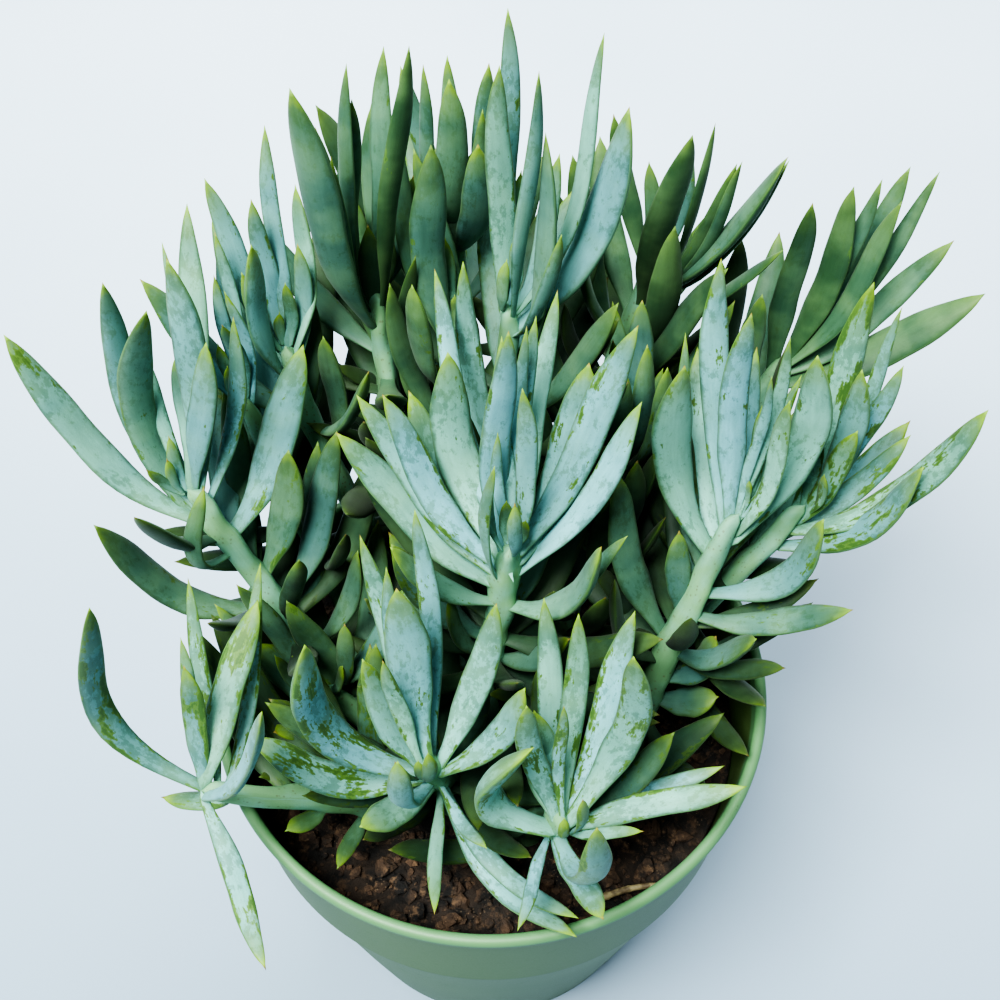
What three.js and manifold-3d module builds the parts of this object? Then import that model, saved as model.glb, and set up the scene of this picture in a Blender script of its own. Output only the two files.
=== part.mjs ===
// A potted big blue chalk sticks plant: seventeen thick leafy stems in a round plastic pot of soil.
// Millimetres, +Z up, with the origin at the centre of the pot's flat underside.
// The side that the plant is seen from is -Y, and +X is to the right there.
import * as THREE from "three";
import { mergeVertices } from "three/addons/utils/BufferGeometryUtils.js";
import Module from "manifold-3d";

const wasm = await Module();
wasm.setup();

// Driving dimensions of the pot.
const POT_HEIGHT = 158;
const RIM_RADIUS = 90;
const LIP_RADIUS = 1.9;
const COLLAR_HEIGHT = 48;
const COLLAR_FOOT_RADIUS = 84.5;
const COLLAR_STEP = 1.6;
const BASE_RADIUS = 62;
const BASE_EDGE = 2.5;
const POT_WALL = 2.2;
const POT_FLOOR = 3;
const POT_SIDES = 32;
const DRAIN_HOLES = 4;
const DRAIN_RADIUS = 4.5;
const DRAIN_RING_RADIUS = 38;

// Driving dimensions of the soil and of the holes that the stems stand in.
const SOIL_TOP = 130;
const SOIL_RELIEF = 1.6;
const STEM_DEPTH = 26;
const SEAT_GAP = 0.3;

// Driving dimensions of the stems and leaves.
const STEM_RADIUS = 4.7;
const STEM_TIP_RADIUS = 2.8;
const STEM_STEPS = 48;
const STEM_SIDES = 6;
const STEM_ARCH = 0.35;
const LEAF_THICKNESS_SHARE = 0.52;
const LEAF_STATIONS = [0, 0.3, 0.6, 0.87];
const LEAF_SEAT = 0.55;
const LEAF_TWIST = 62;
const LEAF_GAP = 0.6;
const NESTLED_GAP = -0.6;
const NESTLED_PART = 0.4;
const MOST_RULED = 24;

const DEGREE = Math.PI / 180;
const GOLDEN_ANGLE = 137.508;

// Each stem: where it leaves the soil [x, y], its growing tip [x, y, z], the heading and rise in
// degrees of its last stretch, and its leaves. A heading is measured from +X towards +Y.
// A leaf is [how far below the growing tip it sits, its heading, its rise, its length, its width].
// A leaf's sixth number, where it has one, is how deep it bows below a straight line.
// The stem's hidden side is filled by rule with so many more leaves, between two headings.
const STEMS = [
  {
    name: "stem_centre", root: [-6, -8], tip: [6, -5, 234], lean: [70, 84], more: 1, between: [60, 140],
    leaves: [
      [8, 120, 60, 65, 12.5, 13], [8, 51, 59, 64, 13, 13], [12, 24, 56, 67, 8], [18, 154, 39, 66, 10.5, 6],
      [24, -31, 58, 55, 10.5, 9], [14, -171, 86, 51, 4.5], [9, 103, 50, 86, 8, 26], [6, 111, 47, 83, 6.5],
      [0, 95, 61, 60, 6, 2], [1, 87, 65, 68, 6], [3, 74, 53, 74, 6.5], [5, 53, 53, 79, 10],
      [14, 146, 40, 68, 9, 6], [10, 149, 53, 64, 9, 7], [24, -165, 50, 48, 8], [28, -12, 53, 56, 5.5],
      [1, 40, 87, 63, 6.5], [0, 110, 74, 38, 3.5], [9, 108, 83, 80, 8.5, 7], [2, 81, 65, 68, 4.5],
      [44, 170, 55, 50, 10], [50, -159, 70, 36, 8], [52, -31, 48, 40, 9], [56, 140, 40, 50, 10],
      [40, 60, 50, 56, 10],
    ],
  },
  {
    name: "stem_front_left", root: [-14, -34], tip: [-18, -53, 194], lean: [250, 70], more: 1,
    between: [60, 120],
    leaves: [
      [12, 178, 67, 74, 12.5, 17], [4, 106, 70, 64, 12.5, 7], [12, 87, 63, 86, 6.5], [10, 43, 67, 66, 9],
      [10, 7, 58, 50, 9, 7], [20, -172, 36, 60, 10.5, 10], [16, -116, 66, 42, 8, 8],
      [26, -132, 27, 34, 10], [6, 114, 65, 66, 5.5], [8, 114, 55, 74, 6.5], [3, 145, 66, 46, 7.5],
      [1, 125, 69, 44, 5], [30, -90, 8, 44, 4.5], [21, -52, -7, 61, 7.5, 26], [19, -46, -6, 58, 6.5, 26],
      [18, -62, 25, 36, 4],
    ],
  },
  {
    name: "stem_front_right", root: [12, -44], tip: [21, -65, 182], lean: [290, 70], more: 0,
    between: [60, 120],
    leaves: [
      [8, 178, 68, 50, 13, 16], [4, 113, 58, 39, 10], [4, 42, 73, 73, 10, 13], [6, 63, 52, 69, 9],
      [5, 84, 58, 67, 7.5, 8], [7, 97, 54, 70, 7.5, 9], [4, 117, 71, 56, 7.5, 6], [2, 94, 73, 47, 4, 5],
      [12, 1, 26, 57, 8, 0], [10, -73, 65, 59, 9, 12], [16, -70, 25, 39, 8, 3], [16, -106, 25, 42, 4, 0],
      [16, -22, 36, 32, 4, 1], [20, 13, 16, 54, 6.5, 4],
    ],
  },
  {
    name: "stem_right", root: [47, -14], tip: [74, 17, 220], lean: [45, 62], more: 1, between: [60, 150],
    leaves: [
      [15, 138, 72, 70, 13, 11], [6, 105, 65, 84, 9], [9, 30, 75, 71, 11.5, 13], [3, 103, 77, 72, 9],
      [4, 55, 81, 70, 4.5], [6, 12, 81, 56, 6.5], [2, 64, 86, 58, 3.5], [14, 55, 51, 58, 5],
      [28, -7, 53, 50, 10, 12], [36, -25, 33, 54, 9, 6], [39, 112, 71, 33, 8, 0], [48, 139, 66, 66, 10.5],
      [50, -45, 52, 44, 10], [62, -7, 59, 30, 10, 5], [70, -21, 28, 24, 10.5, 3], [28, 97, 49, 78, 5, 6],
    ],
  },
  {
    name: "stem_left", root: [-55, 3], tip: [-90, 23, 224], lean: [150, 60], more: 1, between: [30, 100],
    leaves: [
      [12, 166, 55, 81, 10, 14], [9, 138, 77, 83, 8.5, 18], [2, 55, 81, 84, 10.5],
      [20, 147, 86, 92, 10.5, 23], [0, 84, 54, 83, 8.5, 0], [0, 43, 70, 58, 9, 0], [5, 99, 43, 77, 4.5, 9],
      [7, 46, 68, 66, 6], [20, 46, 54, 67, 12.5], [24, -118, 82, 35, 6, 12], [49, -173, 47, 66, 10.5, 14],
      [38, 44, 67, 50, 11], [50, 45, 61, 66, 10], [54, -39, 72, 44, 8, 0], [60, 67, 50, 66, 9],
      [70, 7, 67, 54, 8], [6, 122, 67, 58, 4.5], [34, 100, 45, 56, 9],
    ],
  },
  {
    name: "stem_low_left", root: [-34, -40], tip: [-82, -55, 184], lean: [190, 40], more: 1,
    between: [60, 120],
    leaves: [
      [5, 165, 80, 92, 8, 21], [0, 71, 34, 56, 10, 0], [8, 80, 37, 67, 5, 6], [5, 100, 38, 62, 5, 7],
      [0, 96, 55, 47, 4.5, 3], [0, 88, 59, 41, 7, 3], [0, -28, 66, 82, 9, 5], [0, -65, -6, 53, 6.5, 3],
      [12, 167, -27, 30, 8, 3], [42, -135, 9, 16, 6.5, 1], [58, -106, 12, 24, 5.5, 1], [60, 90, 36, 50, 8],
    ],
  },
  {
    name: "stem_back_left", root: [-24, 42], tip: [-35, 73, 258], lean: [110, 80], more: 3,
    between: [60, 170],
    leaves: [
      [11, -129, 77, 96, 12, 4], [5, -153, 89, 83, 5.5], [4, -30, 79, 94, 7, 0], [0, 75, 70, 71, 7, 0],
      [8, 155, 89, 75, 8], [10, -134, 81, 66, 5], [24, 116, 86, 50, 8], [6, 131, 68, 57, 4],
      [30, -84, 40, 52, 10],
    ],
  },
  {
    name: "stem_back", root: [4, 36], tip: [5, 67, 258], lean: [90, 80], more: 3, between: [50, 130],
    leaves: [
      [4, 105, 84, 80, 8], [8, 7, 67, 81, 12.5, 10], [4, 12, 75, 94, 5.5], [5, 90, 78, 92, 7],
      [3, -46, 83, 88, 5, 1], [10, -45, 68, 54, 5.5], [29, 2, 84, 94, 8, 5], [40, -5, 58, 60, 9],
      [36, 170, 60, 60, 10], [52, -150, 50, 54, 10],
    ],
  },
  {
    name: "stem_far_right", root: [46, 38], tip: [95, 80, 222], lean: [40, 58], more: 3,
    between: [60, 170],
    leaves: [
      [6, 73, 83, 64, 8.5], [3, 34, 77, 67, 9], [4, 28, 70, 71, 6], [4, 35, 57, 74, 9], [6, 32, 48, 79, 6],
      [5, 16, 39, 67, 9], [8, 2, 30, 70, 13], [2, 7, 68, 68, 7.5], [12, -152, 79, 46, 8],
    ],
  },
  {
    name: "stem_back_right", root: [24, 50], tip: [51, 96, 248], lean: [55, 65], more: 4,
    between: [50, 160],
    leaves: [
      [6, -21, 77, 65, 4.5], [14, -77, 73, 87, 10, 0], [8, -47, 66, 71, 5], [10, -31, 60, 77, 7],
      [10, -37, 57, 81, 11, 4], [16, -31, 46, 62, 5.5], [13, -43, 64, 67, 8, 4], [34, -58, 75, 72, 11],
      [46, -17, 71, 77, 11, 0], [24, -150, 66, 54, 9],
    ],
  },
  {
    name: "stem_outer_right", root: [54, 10], tip: [96, 25, 214], lean: [20, 60], more: 2,
    between: [30, 110],
    leaves: [
      [9, -15, 57, 77, 10.5, 11], [16, -19, 47, 60, 10, 10], [4, 65, 67, 76, 10], [3, 40, 73, 75, 4.5],
      [6, 20, 82, 63, 9, 8], [3, 32, 70, 60, 6.5], [8, 24, 69, 44, 7.5], [14, 19, 41, 50, 7.5],
    ],
  },
  {
    name: "stem_back_centre", root: [-12, 26], tip: [-11, 64, 250], lean: [95, 78], more: 2,
    between: [50, 130],
    leaves: [
      [6, 128, 80, 70, 11], [7, 133, 72, 73, 6.5], [36, 158, 59, 60, 8], [42, 148, 71, 80, 8, 13],
      [20, -164, 76, 50, 10], [70, 140, 35, 52, 10], [60, 167, 62, 50, 9], [50, -60, 66, 48, 10],
    ],
  },
  {
    name: "stem_far_left", root: [-34, 38], tip: [-61, 57, 250], lean: [120, 78], more: 2,
    between: [60, 170],
    leaves: [
      [0, 91, 68, 65, 5.5, 0], [6, 115, 77, 54, 6.5], [10, -177, 84, 51, 9], [8, 58, 75, 42, 6],
      [40, 29, 84, 48, 9], [30, -48, 52, 50, 9],
    ],
  },
  {
    name: "stem_left_back", root: [-46, 22], tip: [-75, 48, 238], lean: [140, 70], more: 2,
    between: [60, 160],
    leaves: [
      [6, 101, 70, 57, 4.5], [8, 112, 71, 47, 4.5], [4, 56, 81, 40, 4.5],
    ],
  },
  {
    name: "stem_far_back", root: [-8, 56], tip: [-11, 103, 262], lean: [95, 72], more: 4,
    between: [20, 160],
    leaves: [
      [4, -90, 79, 62, 10], [6, -145, 82, 64, 5], [5, -101, 83, 64, 6.5], [4, -53, 79, 64, 8],
      [6, -58, 73, 58, 5.5], [10, -66, 66, 54, 10.5],
    ],
  },
  {
    name: "stem_inner_right", root: [22, 16], tip: [43, 52, 214], lean: [60, 70], more: 3,
    between: [40, 150],
    leaves: [
      [5, 74, 84, 60, 9], [6, -39, 85, 52, 8], [4, -111, 77, 48, 8], [10, -28, 73, 52, 9],
      [30, -22, 69, 44, 9], [40, -40, 76, 56, 10], [60, 22, 77, 60, 10.5], [50, -64, 77, 56, 9],
      [70, -61, 64, 48, 10],
    ],
  },
  {
    name: "stem_inner_left", root: [-34, -14], tip: [-56, -8, 160], lean: [170, 45], more: 0,
    between: [90, 180],
    leaves: [
      [8, 164, 45, 34, 10.5], [14, 80, 36, 62, 10], [8, 51, 76, 36, 6.5], [3, -15, 68, 22, 5.5],
      [3, 180, 72, 24, 5.5], [10, -133, 32, 30, 10], [4, 29, 44, 50, 9], [20, 127, 76, 56, 10],
    ],
  },
];

/** A number from -1 to 1 that looks drawn at random but is always the same for one count. */
function spread(count) {
  const share = count * 0.6180339887498949;
  return 2 * (share - Math.floor(share)) - 1;
}

/** A smooth step from 0 to 1 as x goes from 0 to 1. */
function smooth(x) {
  const t = Math.min(Math.max(x, 0), 1);
  return t * t * (3 - 2 * t);
}

/** The direction with this heading and rise in degrees. */
function direction(heading, rise) {
  const flat = Math.cos(rise * DEGREE);
  return new THREE.Vector3(
    flat * Math.cos(heading * DEGREE),
    flat * Math.sin(heading * DEGREE),
    Math.sin(rise * DEGREE),
  );
}

// Where the light comes from: a blade turns whichever of its faces is nearer to it.
const LIGHT = direction(-90, 52);

/** A closed mesh over rings of equally many points; a fan closes the first ring and the last. */
function skin(rings) {
  const sides = rings[0].length;
  const positions = rings.flat().flatMap((p) => [p.x, p.y, p.z]);
  const index = [];
  for (let ring = 0; ring + 1 < rings.length; ring += 1) {
    for (let side = 0; side < sides; side += 1) {
      const a = ring * sides + side;
      const b = ring * sides + ((side + 1) % sides);
      index.push(a, b, a + sides, b, b + sides, a + sides);
    }
  }
  const last = (rings.length - 1) * sides;
  for (let side = 1; side + 1 < sides; side += 1) {
    index.push(0, side + 1, side);
    index.push(last, last + side, last + side + 1);
  }
  const geometry = new THREE.BufferGeometry();
  geometry.setAttribute("position", new THREE.Float32BufferAttribute(positions, 3));
  geometry.setIndex(index);
  return geometry;
}

/** A geometry as a solid, turned right side out. */
function solidOf(geometry) {
  const bare = geometry.clone();
  for (const name of Object.keys(bare.attributes)) {
    if (name !== "position") bare.deleteAttribute(name);
  }
  const merged = mergeVertices(bare, 1e-4);
  const vertProperties = new Float32Array(merged.attributes.position.array);
  const triVerts = new Uint32Array(merged.index.array);
  const made = new wasm.Manifold(new wasm.Mesh({ numProp: 3, vertProperties, triVerts }));
  if (made.volume() > 0) return made;
  return new wasm.Manifold(
    new wasm.Mesh({ numProp: 3, vertProperties, triVerts: triVerts.reverse() }),
  );
}

/** A solid back as a geometry. */
function geometryOf(solid) {
  const { vertProperties, triVerts } = solid.getMesh();
  const geometry = new THREE.BufferGeometry();
  geometry.setAttribute("position", new THREE.BufferAttribute(vertProperties, 3));
  geometry.setIndex(new THREE.BufferAttribute(triVerts, 1));
  geometry.computeVertexNormals();
  return geometry;
}

/** The largest body of a solid, without loose scraps or sealed hollows. */
function largestBody(solid) {
  return solid.decompose().sort((a, b) => b.volume() - a.volume())[0];
}

/** A profile of [radius, height] pairs turned round the upright axis. */
function turned(profile, sides) {
  const points = profile.map(([radius, height]) => new THREE.Vector2(radius, height));
  return new THREE.LatheGeometry(points, sides).rotateX(Math.PI / 2);
}

/** The pot's inner radius at a height: the wall opens less steeply above the collar's foot. */
function innerRadius(height) {
  const collarFoot = POT_HEIGHT - COLLAR_HEIGHT;
  const atFloor = BASE_RADIUS - POT_WALL;
  const atCollar = COLLAR_FOOT_RADIUS - COLLAR_STEP - POT_WALL;
  const atRim = RIM_RADIUS - 2 * LIP_RADIUS;
  if (height > collarFoot) {
    return atCollar + ((atRim - atCollar) * (height - collarFoot)) / COLLAR_HEIGHT;
  }
  return atFloor + ((atCollar - atFloor) * height) / collarFoot;
}

/** The pot: flat base, tapered body, a small step, a tall smooth collar and a round lip. */
function potSolid() {
  const collarFoot = POT_HEIGHT - COLLAR_HEIGHT;
  const lipCentre = [RIM_RADIUS - LIP_RADIUS, POT_HEIGHT - LIP_RADIUS];
  const lip = [0, 60, 120, 180].map((angle) => [
    lipCentre[0] + LIP_RADIUS * Math.cos(angle * DEGREE),
    lipCentre[1] + LIP_RADIUS * Math.sin(angle * DEGREE),
  ]);
  const profile = [
    [0, 0],
    [BASE_RADIUS - BASE_EDGE, 0],
    [BASE_RADIUS, BASE_EDGE],
    [COLLAR_FOOT_RADIUS - COLLAR_STEP, collarFoot - COLLAR_STEP],
    [COLLAR_FOOT_RADIUS, collarFoot],
    [RIM_RADIUS - LIP_RADIUS, POT_HEIGHT - 3 * LIP_RADIUS],
    ...lip,
    [innerRadius(collarFoot), collarFoot],
    [innerRadius(POT_FLOOR), POT_FLOOR],
    [0, POT_FLOOR],
  ];
  let pot = solidOf(turned(profile, POT_SIDES));
  for (let hole = 0; hole < DRAIN_HOLES; hole += 1) {
    const angle = (hole / DRAIN_HOLES) * 2 * Math.PI;
    const drill = new THREE.CylinderGeometry(DRAIN_RADIUS, DRAIN_RADIUS, 4 * POT_FLOOR, 8);
    drill.rotateX(Math.PI / 2);
    drill.translate(DRAIN_RING_RADIUS * Math.cos(angle), DRAIN_RING_RADIUS * Math.sin(angle), 0);
    pot = pot.subtract(solidOf(drill));
  }
  return pot;
}

/** How far the soil's surface stands above its mean height: clods and hollows between them. */
function soilRelief(x, y) {
  const clods = Math.sin(x / 4.7 + 1.3 * Math.sin(y / 6.1)) * Math.cos(y / 5.3 + 0.9 * Math.sin(x / 7.9));
  const swell = Math.sin(x / 21 + 0.6) * Math.cos(y / 17);
  return SOIL_RELIEF * (0.65 * clods + 0.35 * swell);
}

/** The soil: it fills the pot to below the rim and has a plain hole for each stem. */
function soilSolid(roots) {
  const foot = POT_FLOOR + SEAT_GAP;
  const collarFoot = POT_HEIGHT - COLLAR_HEIGHT;
  const edge = SOIL_TOP - 2 * SOIL_RELIEF;
  const wallHeights = [foot, collarFoot, edge];
  const profile = [
    [0, foot],
    ...wallHeights.map((height) => [innerRadius(height) - SEAT_GAP, height]),
    ...[0.99, 0.8, 0.6, 0.4, 0.2].map((share) => [share * innerRadius(SOIL_TOP), SOIL_TOP]),
    [0, SOIL_TOP],
  ];
  const geometry = turned(profile, POT_SIDES);
  const position = geometry.attributes.position;
  for (let i = 0; i < position.count; i += 1) {
    if (position.getZ(i) > SOIL_TOP - SOIL_RELIEF) {
      position.setZ(i, SOIL_TOP + soilRelief(position.getX(i), position.getY(i)));
    }
  }
  let soil = solidOf(geometry);
  for (const [x, y] of roots) {
    const radius = (STEM_RADIUS + SEAT_GAP) / Math.cos(Math.PI / 6);
    const hole = new THREE.CylinderGeometry(radius, radius, 2 * STEM_DEPTH, 6);
    hole.rotateX(Math.PI / 2);
    hole.translate(x, y, SOIL_TOP);
    soil = soil.subtract(solidOf(hole));
  }
  return largestBody(soil);
}

/** A stem's course above the soil: up out of its hole, then over to the growing tip. */
function stemCourse({ root, tip, lean }) {
  const start = new THREE.Vector3(root[0], root[1], SOIL_TOP);
  const end = new THREE.Vector3(...tip);
  const reach = STEM_ARCH * start.distanceTo(end);
  const above = start.clone().add(new THREE.Vector3(0, 0, reach));
  const before = end.clone().addScaledVector(direction(...lean), -reach);
  return new THREE.CubicBezierCurve3(start, above, before, end).getPoints(STEM_STEPS);
}

/** The point of a course that lies this far back from its end. */
function pointBelow(course, distance) {
  let left = distance;
  for (let i = course.length - 1; i > 0; i -= 1) {
    const step = course[i].distanceTo(course[i - 1]);
    if (left <= step) return course[i].clone().lerp(course[i - 1], left / step);
    left -= step;
  }
  return course[0].clone();
}

/** A stem's solid: round, a little thinner towards its domed tip, with a foot down in its hole. */
function stemSolid(course) {
  const foot = course[0].clone().setZ(SOIL_TOP - STEM_DEPTH + SEAT_GAP);
  const stops = [foot, ...course.filter((_, i) => i % 12 === 0)];
  const radii = stops.map((_, i) => STEM_RADIUS + ((STEM_TIP_RADIUS - STEM_RADIUS) * i) / (stops.length - 1));
  const end = course[course.length - 1];
  const growth = end.clone().sub(course[course.length - 5]).normalize();
  stops.push(end.clone().addScaledVector(growth, 0.8 * STEM_TIP_RADIUS));
  radii.push(0.4 * STEM_TIP_RADIUS);
  const rings = stops.map((stop, i) => {
    const ahead = stops[Math.min(i + 1, stops.length - 1)];
    const behind = stops[Math.max(i - 1, 0)];
    const along = i < 2 ? new THREE.Vector3(0, 0, 1) : ahead.clone().sub(behind).normalize();
    const across = new THREE.Vector3(1, 0, 0).addScaledVector(along, -along.x).normalize();
    const third = along.clone().cross(across);
    return Array.from({ length: STEM_SIDES }, (_, side) => {
      const angle = (side / STEM_SIDES) * 2 * Math.PI;
      return stop
        .clone()
        .addScaledVector(across, radii[i] * Math.cos(angle))
        .addScaledVector(third, radii[i] * Math.sin(angle));
    });
  });
  return solidOf(skin(rings));
}

/** A leaf of a stem: its root on the stem's skin, the way it points, its blade's side and its sizes. */
function leafAt(course, [below, heading, rise, length, width, bow]) {
  const middle = pointBelow(course, below);
  const growth = middle.clone().sub(pointBelow(course, below + 6)).normalize();
  const end = middle.clone().addScaledVector(direction(heading, rise), length);
  const out = direction(heading, 0);
  out.addScaledVector(growth, -out.dot(growth)).normalize();
  const root = middle.addScaledVector(out, LEAF_SEAT * STEM_RADIUS);
  const along = end.sub(root);
  const reach = along.length();
  along.normalize();
  const side = new THREE.Vector3(-Math.sin(heading * DEGREE), Math.cos(heading * DEGREE), 0);
  side.addScaledVector(along, -side.dot(along)).normalize();
  const depth = bow ?? reach * (0.055 + 0.07 * Math.cos(rise * DEGREE));
  const lit = Math.sign(along.clone().cross(side).dot(LIGHT));
  const twist = -LEAF_TWIST * DEGREE * lit * side.dot(LIGHT) * Math.sin(rise * DEGREE);
  return { root, along, side, length: reach, width, bow: depth, twist };
}

/** Share of a leaf's full width at a part of its length: narrow foot, broad middle, pointed end. */
function widthShare(part) {
  const foot = 0.46 + 0.54 * smooth(part / 0.42);
  const end = Math.max((part - 0.6) / 0.4, 0);
  return foot * (1 - end * end) ** 0.62;
}

/** How far a leaf bows away from its straight line at a part of its length, in shares of its bow. */
function bowShare(part) {
  const rest = 1 - part;
  return 2 * part * rest + 3.375 * part * rest * rest;
}

/** How fast the bow's share changes along the leaf. */
function bowSlope(part) {
  const rest = 1 - part;
  return 2 * (rest - part) + 3.375 * rest * (rest - 2 * part);
}

/** A leaf's frame at a part of its length: centre, blade side, inner normal, half width, half depth. */
function leafFrame(leaf, part) {
  const inner = leaf.along.clone().cross(leaf.side);
  const centre = leaf.root
    .clone()
    .addScaledVector(leaf.along, leaf.length * part)
    .addScaledVector(inner, -leaf.bow * bowShare(part));
  const tangent = leaf.along
    .clone()
    .multiplyScalar(leaf.length)
    .addScaledVector(inner, -leaf.bow * bowSlope(part))
    .normalize();
  const flat = tangent.clone().cross(leaf.side);
  const twist = leaf.twist * smooth(part / 0.6);
  const turn = [Math.cos(twist), Math.sin(twist)];
  const share = widthShare(part);
  return {
    centre,
    side: leaf.side.clone().multiplyScalar(turn[0]).addScaledVector(flat, turn[1]),
    normal: flat.clone().multiplyScalar(turn[0]).addScaledVector(leaf.side, -turn[1]),
    halfWidth: 0.5 * leaf.width * share,
    halfDepth: 0.5 * leaf.width * LEAF_THICKNESS_SHARE * Math.min(share * 1.1, 1),
  };
}

// The corners of a leaf's section, in shares of half its width and depth: flatter inside, full outside.
const SECTION = [
  [-1, 0],
  [0, 0.6],
  [1, 0],
  [0, -1],
];

/** A leaf's solid: its section carried along its bowed middle line and drawn in to a point. */
function leafSolid(leaf) {
  const rings = LEAF_STATIONS.map((part) => {
    const frame = leafFrame(leaf, part);
    return SECTION.map(([x, y]) =>
      frame.centre
        .clone()
        .addScaledVector(frame.side, x * frame.halfWidth)
        .addScaledVector(frame.normal, y * frame.halfDepth),
    );
  });
  const end = leafFrame(leaf, 1);
  rings.push(SECTION.map(() => end.centre.clone()));
  return solidOf(skin(rings));
}

const BEADS_ALONG = 14;
const BEADS_ACROSS = [-0.8, -0.3, 0.3, 0.8];

/** A leaf as beads that fill its blade, to see what it would touch: [x, y, z, radius, part]. */
function leafBeads(leaf) {
  const beads = [];
  for (let i = 0; i < BEADS_ALONG; i += 1) {
    const part = (i + 0.5) / BEADS_ALONG;
    const frame = leafFrame(leaf, part);
    for (const x of BEADS_ACROSS) {
      const at = frame.centre.clone().addScaledVector(frame.side, x * frame.halfWidth);
      beads.push([at.x, at.y, at.z, frame.halfDepth * Math.sqrt(1 - x * x), part]);
    }
  }
  return beads;
}

/** A stem as beads along its course; every part of it counts as an outer part. */
function stemBeads(course) {
  return course.map((p) => [p.x, p.y, p.z, STEM_RADIUS, 1]);
}

/** Whether beads keep clear of the pot's wall and of the soil. */
function clearsPot(beads) {
  return beads.every(([x, y, z, radius, part]) => {
    if (part < 0.15) return true;
    const out = Math.hypot(x, y);
    const reach = radius + LEAF_GAP;
    const inside = innerRadius(Math.min(z, POT_HEIGHT)) - reach;
    if (out < inside) return z - reach > SOIL_TOP + SOIL_RELIEF;
    return z - reach > POT_HEIGHT || out > innerRadius(z) + 2 * LIP_RADIUS + reach;
  });
}

/** A thing that stands already: its beads, the ball that holds them, and the stem that it is part of. */
function standingThing(beads, stem, isStem) {
  const middle = beads[beads.length >> 1];
  const reaches = beads.map(([x, y, z, radius]) => {
    return Math.hypot(x - middle[0], y - middle[1], z - middle[2]) + radius;
  });
  const reach = Math.max(...reaches);
  return { beads, middle, reach, stem, isStem };
}

/** Whether a leaf's beads keep clear of what stands already; leaves of one stem may nestle at the foot. */
function clearsOthers(beads, stem, standing) {
  const own = standingThing(beads, stem, false);
  for (const other of standing) {
    if (other.isStem && other.stem === stem) continue;
    const apart = Math.hypot(...[0, 1, 2].map((axis) => own.middle[axis] - other.middle[axis]));
    if (apart > own.reach + other.reach + LEAF_GAP) continue;
    const nestled = other.stem === stem;
    const gap = nestled ? NESTLED_GAP : LEAF_GAP;
    const fromPart = nestled ? NESTLED_PART : 0;
    for (const [x, y, z, radius, part] of beads) {
      if (part < fromPart) continue;
      for (const [ox, oy, oz, otherRadius, otherPart] of other.beads) {
        if (otherPart < fromPart) continue;
        const reach = radius + otherRadius + gap;
        if ((x - ox) ** 2 + (y - oy) ** 2 + (z - oz) ** 2 < reach * reach) return false;
      }
    }
  }
  return true;
}

// The swings that a leaf tries, smallest first, until it is clear: [sideways, inwards] slopes.
const SWINGS = [[0, 0]];
for (const size of [0.07, 0.14, 0.22, 0.32]) {
  for (let turn = 0; turn < 8; turn += 1) {
    const angle = turn * 45 * DEGREE;
    SWINGS.push([size * Math.cos(angle), size * Math.sin(angle)]);
  }
}

/** A leaf swung about its root by slopes sideways and inwards. */
function swung(leaf, [sideways, inwards]) {
  const inner = leaf.along.clone().cross(leaf.side);
  const along = leaf.along
    .clone()
    .addScaledVector(leaf.side, sideways)
    .addScaledVector(inner, inwards)
    .normalize();
  const side = leaf.side.clone().addScaledVector(along, -leaf.side.dot(along)).normalize();
  return { ...leaf, along, side };
}

/** Adds a leaf, bent clear of what stands already; a leaf that finds no room is left out. */
function addLeaf(leaf, stem, standing, grown) {
  for (const shrink of [1, 0.88]) {
    const sized = { ...leaf, length: leaf.length * shrink, width: leaf.width * shrink };
    for (const swing of SWINGS) {
      const tried = swung(sized, swing);
      const beads = leafBeads(tried);
      if (clearsPot(beads) && clearsOthers(beads, stem, standing)) {
        standing.push(standingThing(beads, stem, false));
        grown[stem].push(tried);
        return;
      }
    }
  }
}

/** The leaf that the rule grows next on a stem: golden angle round it, opening out further down. */
function ruledLeaf(stem, course, count) {
  const below = 14 + 3.6 * count;
  const middle = pointBelow(course, below);
  const growth = middle.clone().sub(pointBelow(course, below + 6)).normalize();
  const out = direction(GOLDEN_ANGLE * count + 40 * stem, 0);
  out.addScaledVector(growth, -out.dot(growth)).normalize();
  const opening = (36 + 1.4 * count + 6 * spread(count + stem)) * DEGREE;
  const along = growth.clone().multiplyScalar(Math.cos(opening)).addScaledVector(out, Math.sin(opening));
  const heading = Math.atan2(along.y, along.x) / DEGREE;
  const rise = Math.asin(along.z) / DEGREE;
  const length = 58 + 6 * spread(3 * count + stem);
  return [below, heading, rise, length, 3.5 + 0.11 * length];
}

/** All leaves of the plant: first the listed ones of each stem, then those of the rule. */
function growLeaves(courses) {
  const standing = courses.map((course, stem) => standingThing(stemBeads(course), stem, true));
  const grown = STEMS.map(() => []);
  STEMS.forEach(({ leaves }, stem) => {
    for (const leaf of leaves) addLeaf(leafAt(courses[stem], leaf), stem, standing, grown);
  });
  STEMS.forEach(({ more, between }, stem) => {
    const wanted = grown[stem].length + more;
    for (let count = 0; count < MOST_RULED && grown[stem].length < wanted; count += 1) {
      const leaf = ruledLeaf(stem, courses[stem], count);
      if (leaf[1] < between[0] || leaf[1] > between[1]) continue;
      addLeaf(leafAt(courses[stem], leaf), stem, standing, grown);
    }
  });
  return grown;
}

const POT_PLASTIC = { color: 0x6f9a80, roughness: 0.42, metalness: 0 };
const SOIL_EARTH = { color: 0x3b2a20, roughness: 0.95, metalness: 0 };
const LEAF_BLUE = { color: 0x8fb5a8, roughness: 0.62, metalness: 0 };

/** A named mesh of a solid with its own material. */
function part(name, solid, finish) {
  const mesh = new THREE.Mesh(geometryOf(solid), new THREE.MeshStandardMaterial(finish));
  mesh.name = name;
  return mesh;
}

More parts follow.
